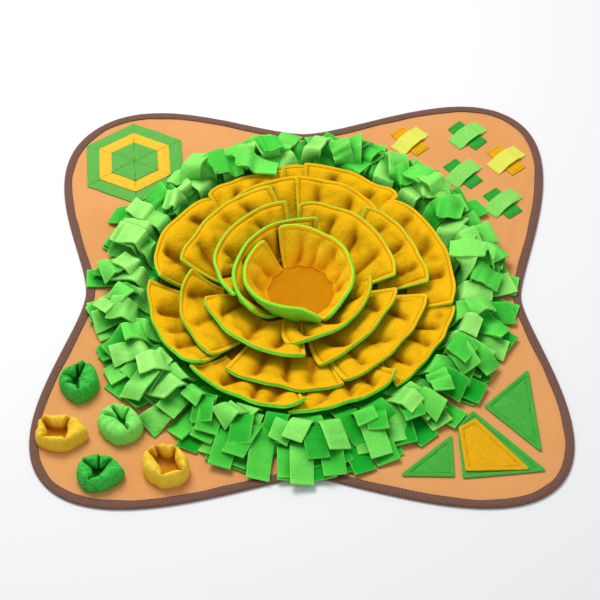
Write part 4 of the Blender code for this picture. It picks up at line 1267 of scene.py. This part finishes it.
def build_fringe(sector, strips, relief, cloth):
    """One backing with its strips, as one piece."""
    directions = np.linspace(sector * SECTOR_TURN + BACKING_TRIM,
                             (sector + 1) * SECTOR_TURN - BACKING_TRIM, 13)
    radii = np.linspace(BACKING_INNER, BACKING_OUTER, 5)[:, None]
    x, y = polar(radii, directions[None])
    points = np.dstack((x, y, np.full(x.shape, DECK + BACKING_THICK / 2)))
    # the backing lies under the strips and takes the full painted shade
    parts = [shaped_grid("backing", points, {"edge": FAR, "tint": 0.2, "deep": 1.0})]
    parts.extend(strip.mesh(relief) for strip in strips)
    joined = bmesh.new()
    for part in parts:
        joined.from_mesh(part)
    mesh = parts[0]
    bmesh.ops.recalc_face_normals(joined, faces=joined.faces)
    joined.to_mesh(mesh)
    joined.free()
    shade_smooth(mesh)
    for part in parts[1:]:
        bpy.data.meshes.remove(part)
    piece = make_piece(f"fringe_{sector + 1:02d}", mesh, "strip_fleece", cloth)
    thicken(piece, STRIP_THICK)
    soften(piece, 0.8)
    length = max(strip.along[-1] for strip in strips) * 1.1
    width = sum(strip.width for strip in strips) + math.radians(SECTOR_TURN) * BACKING_OUTER
    area = min(area_of(mesh), width * length * MM * MM)
    width * MM


# ---------------- corners
def cut_flat(name, corners, cell, rounding, form):
    """A flat sheet cut along its rounded corners; the form gives each place's height and facts."""
    corners = np.array(corners, float)
    middle = corners.mean(axis=0)
    reach = np.abs(corners - middle).max() + 1.0
    count = int(2 * reach / cell)
    shape = bmesh.new()
    bmesh.ops.create_grid(shape, x_segments=count, y_segments=count, size=reach)
    bmesh.ops.translate(shape, verts=shape.verts, vec=(*middle, 0.0))
    planes = []
    for corner, after in zip(corners, np.roll(corners, -1, axis=0)):
        side = after - corner
        normal = np.array((side[1], -side[0])) / np.linalg.norm(side)
        planes.append((corner, normal if np.dot(normal, corner - middle) > 0 else -normal))
    rounded = []
    for index, (corner, normal) in enumerate(planes):
        before = planes[index - 1][1]
        for share in (0.25, 0.5, 0.75):
            blunt = (1 - share) * before + share * normal
            blunt /= np.linalg.norm(blunt)
            # the plane touches a circle of the rounding's radius that fits into the corner
            half = math.sqrt((1 + np.dot(before, normal)) / 2)
            middle_way = (before + normal) / np.linalg.norm(before + normal)
            centre = corner - middle_way * rounding / half
            rounded.append((centre + blunt * rounding, blunt))
    for place, normal in planes + rounded:
        bmesh.ops.bisect_plane(shape, geom=shape.verts[:] + shape.edges[:] + shape.faces[:],
                               plane_co=(*place, 0.0), plane_no=(*normal, 0.0), clear_outer=True)
    bmesh.ops.remove_doubles(shape, verts=shape.verts, dist=0.15)
    mesh = mesh_from(shape, name)
    flat = places_of(mesh)
    x, y = flat[:, 0], flat[:, 1]
    inside = np.min([-(x - place[0]) * normal[0] - (y - place[1]) * normal[1] for place, normal in planes],
                    axis=0)
    flat[:, 2], facts = form(x, y, inside)
    move_points(mesh, flat)
    set_facts(mesh, facts)
    shade_smooth(mesh)
    face_up(mesh)
    return mesh


def felt_piece(name, mesh, colour, felt, rounding):
    """A piece of felt with softly cut edges."""
    piece = make_piece(name, mesh, colour + "_felt", felt)
    thicken(piece, FELT_THICK, 1.0)
    soften(piece, rounding)
    return piece


def build_hexagons(felts):
    """Three felt hexagons, each smaller one on the last, with seams to their corners."""
    for layer, (name, reach) in enumerate(HEXAGONS):
        corners = [np.array(HEXAGON_CENTRE) + reach * heading(HEXAGON_TURN + 60 * side)[0]
                   for side in range(6)]
        base = DECK + layer * FELT_LAYER

        def form(x, y, inside):
            direction = np.degrees(np.arctan2(y - HEXAGON_CENTRE[1], x - HEXAGON_CENTRE[0]))
            turn = (direction - HEXAGON_TURN + 30.0) % 60.0 - 30.0
            seam = distance(x, y, HEXAGON_CENTRE) * np.abs(np.sin(np.radians(turn)))
            roll = 0.9 * (1 - np.exp(-seam / 5.0)) * smooth_step(0.0, 5.0, inside)
            return base + panel_rise(x, y) + roll, {"stitch": FAR, "seam": seam}

        mesh = cut_flat(name + "_cloth", corners, 2.4, 1.0, form)
        colour = "amber" if layer == 1 else "green"
        piece = felt_piece(name, mesh, colour, felts["hexagon_" + colour], 0.5)


def build_cross_strip(name, centre, direction, raised, felt, colour):
    """One strip of a cross; a raised one arches over the strip below it."""
    out, side = heading(direction)
    corners = [np.array(centre) + a * CROSS_LENGTH / 2 * out + b * CROSS_WIDTH / 2 * side
               for a, b in ((-1, -1), (1, -1), (1, 1), (-1, 1))]

    def form(x, y, inside):
        along = np.abs(aligned(x - centre[0], y - centre[1], direction)[0])
        arch = (FELT_LAYER + 2.6) * (1 - smooth_step(7.0, 23.0, along)) if raised else 0.0
        return DECK + panel_rise(x, y) + arch, {"stitch": np.abs(CROSS_LENGTH / 2 - 3.0 - along), "seam": FAR}

    mesh = cut_flat(name + "_cloth", corners, 2.4, 1.2, form)
    piece = felt_piece(name, mesh, colour, felt, 0.4)


def build_triangles(felts):
    """The felt triangles of one corner, stitched a little way in."""
    for name, corners, raised, colour in TRIANGLES:
        base = DECK + (FELT_LAYER if raised else 0.0)

        def form(x, y, inside):
            roll = 1.3 * bell(inside - 2.2, 2.2) - 0.5 * bell(inside - TRIANGLE_STITCH, 1.6)
            height = base + panel_rise(x, y) + roll + 0.8 * smooth_step(6, 20, inside)
            return height, {"stitch": np.abs(inside - TRIANGLE_STITCH), "seam": FAR}

        mesh = cut_flat(name + "_cloth", corners, 2.0, 1.5, form)
        piece = felt_piece(name, mesh, colour, felts[colour + "_felt"], 0.5)


def columns_of(rows):
    """The columns of a table as arrays."""
    return (np.array(column, float) for column in zip(*rows))


def reach_at(angles, corners):
    """How far the straight sides between corners, each a direction and a distance, lie in each direction."""
    directions, distances = columns_of(corners)
    wrapped = directions[0] + (angles - directions[0]) % 360.0
    side = np.searchsorted(directions, wrapped + 1e-6, side="right") - 1
    start = np.radians(directions[side])
    end = np.radians(np.append(directions[1:], directions[0] + 360.0)[side])
    first, second, at = distances[side], np.roll(distances, -1)[side], np.radians(wrapped)
    return first * second * np.sin(end - start) / (first * np.sin(at - start) + second * np.sin(end - at))


def build_pouch(row, rng):
    """A gathered fleece pouch whose thick rim folds into its mouth in soft lips with deep creases between."""
    name, colour, height, _, _, centre, outline, mouth = row
    angles = []
    for (start, _), (end, _) in zip(mouth, mouth[1:] + ((mouth[0][0] + 360, 0),)):
        angles.extend(np.linspace(start, end, max(5, int((end - start) / 2.5)), endpoint=False))
    angles = np.array(angles + [mouth[0][0] + 360.0])
    opening = reach_at(angles, mouth)
    around = np.concatenate((opening[-3:-1], opening, opening[1:3]))
    opening = np.convolve(around, SOFTENING, mode="valid")
    directions, distances = columns_of(outline)
    directions = np.concatenate((directions[-2:] - 360.0, directions, directions[:4] + 360.0))
    distances = np.concatenate((distances[-2:], distances, distances[:4]))
    outside = smooth_through(directions, distances, directions[2] + (angles - directions[2]) % 360.0)
    outside = np.maximum(outside, opening + 4.0)
    crease = np.zeros_like(angles)
    for (_, before), (place, reach), (_, after) in zip(mouth[-1:] + mouth[:-1], mouth, mouth[1:] + mouth[:1]):
        if reach > max(before, after):
            away = np.abs((angles - place + 180.0) % 360.0 - 180.0)
            crease += min(1.0, reach / 20.0) * bell(away, 6.0)
    turned = np.radians(angles)
    lumps = seeded_waves(rng, 0.3, 0.8, (7, 11, 14), turned, np.cos)
    waves = seeded_waves(rng, 0.4, 1.0, (3, 5, 9), turned, np.cos) / 2.5
    steps = np.linspace(0.0, len(POUCH_SECTION) - 1.0, 56)
    place, rise, depth = (smooth_through(np.arange(len(column)), column, steps)[:, None]
                          for column in columns_of(POUCH_SECTION))
    reach = opening + place * (outside - opening) - POUCH_NOTCH * crease * unit(1.6 * rise - 0.5) * place
    reach += POUCH_LUMP * lumps * unit(place) * rise
    lowered = 1.0 + (0.05 * waves + 0.025 * lumps) * np.minimum(1.0, 2.0 * rise) - 0.26 * depth * crease
    x = centre[0] + reach * np.cos(turned)
    y = centre[1] + reach * np.sin(turned)
    points = np.dstack((x, y, DECK + height * rise * lowered))
    low = np.broadcast_to((*centre, DECK), (1, len(angles), 3))
    points = np.concatenate((low, points, low + (0.0, 0.0, 0.14 * height)))
    points[:, -1] = points[:, 0]
    # how far into the mouth and how deep in a crease each place lies, for the pouch's painted shade
    inner = np.concatenate(((0.0,), smooth_step(10.2, 12.5, steps), (1.0,)))[:, None]
    dark = np.concatenate((0 * x[:1], crease * unit(depth - 0.5), 0 * x[:1]))
    mesh = shaped_grid(name + "_cloth", points, {"inner": inner, "crease": dark}, closed=True)
    piece = make_piece(name, mesh, colour + "_fleece", POUCH_CLOTH[colour])


# ---------------- the mat
# base, pale and deep shade, and the thread
FELT_SHADES = {
    "green_felt": ((76, 180, 68), (98, 200, 84), (44, 138, 46), (26, 110, 34)),
    "amber_felt": ((238, 178, 20), (250, 196, 44), (200, 132, 8), (160, 100, 12)),
    "lemon_felt": ((236, 238, 96), (246, 244, 130), (206, 204, 50), (180, 176, 40)),
    "lime_felt": ((146, 230, 104), (168, 240, 124), (104, 196, 74), (60, 150, 44)),
    "leaf_felt": ((54, 172, 60), (72, 190, 72), (28, 126, 40), (18, 100, 30)),
    "hexagon_green": ((104, 184, 82), (122, 198, 92), (72, 150, 60), (40, 112, 36)),
    "hexagon_amber": ((246, 200, 60), (252, 212, 90), (214, 156, 24), (180, 120, 20)),
}
FELTS = {name: make_felt(name, *shades) for name, shades in FELT_SHADES.items()}
AMBER = ((252, 192, 12), (255, 208, 30), (232, 160, 0))
LIME = ((140, 244, 66), (164, 252, 92), (96, 208, 36))
PETAL_FRONT = make_fleece("petal_amber", *AMBER, petal_front)
PETAL_BACK = make_fleece("petal_lime", *LIME)
CUP_FRONT = make_fleece("cup_amber", *AMBER, cup_front)
CUP_BASE = make_fleece("cup_base", *AMBER, floor_front)
STRIP_CLOTH = make_fleece("strip_greens", (128, 128, 128), (150, 150, 150), (80, 80, 80), strip_tints)
POUCH_CLOTH = {
    "leaf": make_fleece("pouch_leaf", (72, 212, 80), (104, 230, 104), (40, 164, 56),
                        pouch_inside(1.7, 10, 84, 24)),
    "green": make_fleece("pouch_green", (146, 246, 112), (170, 252, 138), (106, 216, 84),
                         pouch_inside(0.6, 36, 140, 40)),
    "amber": make_fleece("pouch_amber", (255, 216, 62), (255, 228, 98), (250, 194, 36),
                         pouch_inside(0.6, 190, 104, 8)),
}

bpy.ops.mesh.primitive_plane_add(size=14.0, location=(0.0, 2.0, 0.0))
floor = bpy.context.object
floor.name = "floor"
floor.data.materials.append(make_floor_finish())

build_panel(make_panel_cloth())
build_binding(random.Random(5))
build_cup_floor(CUP_BASE)
petal_rng = random.Random(11)
petal_surfaces = []
for petal_row in PETALS:
    front_cloth = CUP_FRONT if petal_row[0].startswith("petal_1") else PETAL_FRONT
    petal_surfaces.append(build_petal(petal_row, (front_cloth, PETAL_BACK), petal_rng))
strip_sectors, strip_relief = lay_strips(petal_surfaces)
for sector_index, sector_strips in enumerate(strip_sectors):
    build_fringe(sector_index, sector_strips, strip_relief, STRIP_CLOTH)
build_hexagons(FELTS)
for cross_name, cross_centre, upper, lower, upper_colour, lower_colour in CROSSES:
    for layer_name, turn, colour in (("_lower", lower, lower_colour), ("_upper", upper, upper_colour)):
        build_cross_strip(cross_name + layer_name, cross_centre, turn, layer_name == "_upper",
                          FELTS[colour + "_felt"], colour)
build_triangles(FELTS)
pouch_rng = random.Random(3)
for pouch_row in POUCHES:
    build_pouch(pouch_row, pouch_rng)
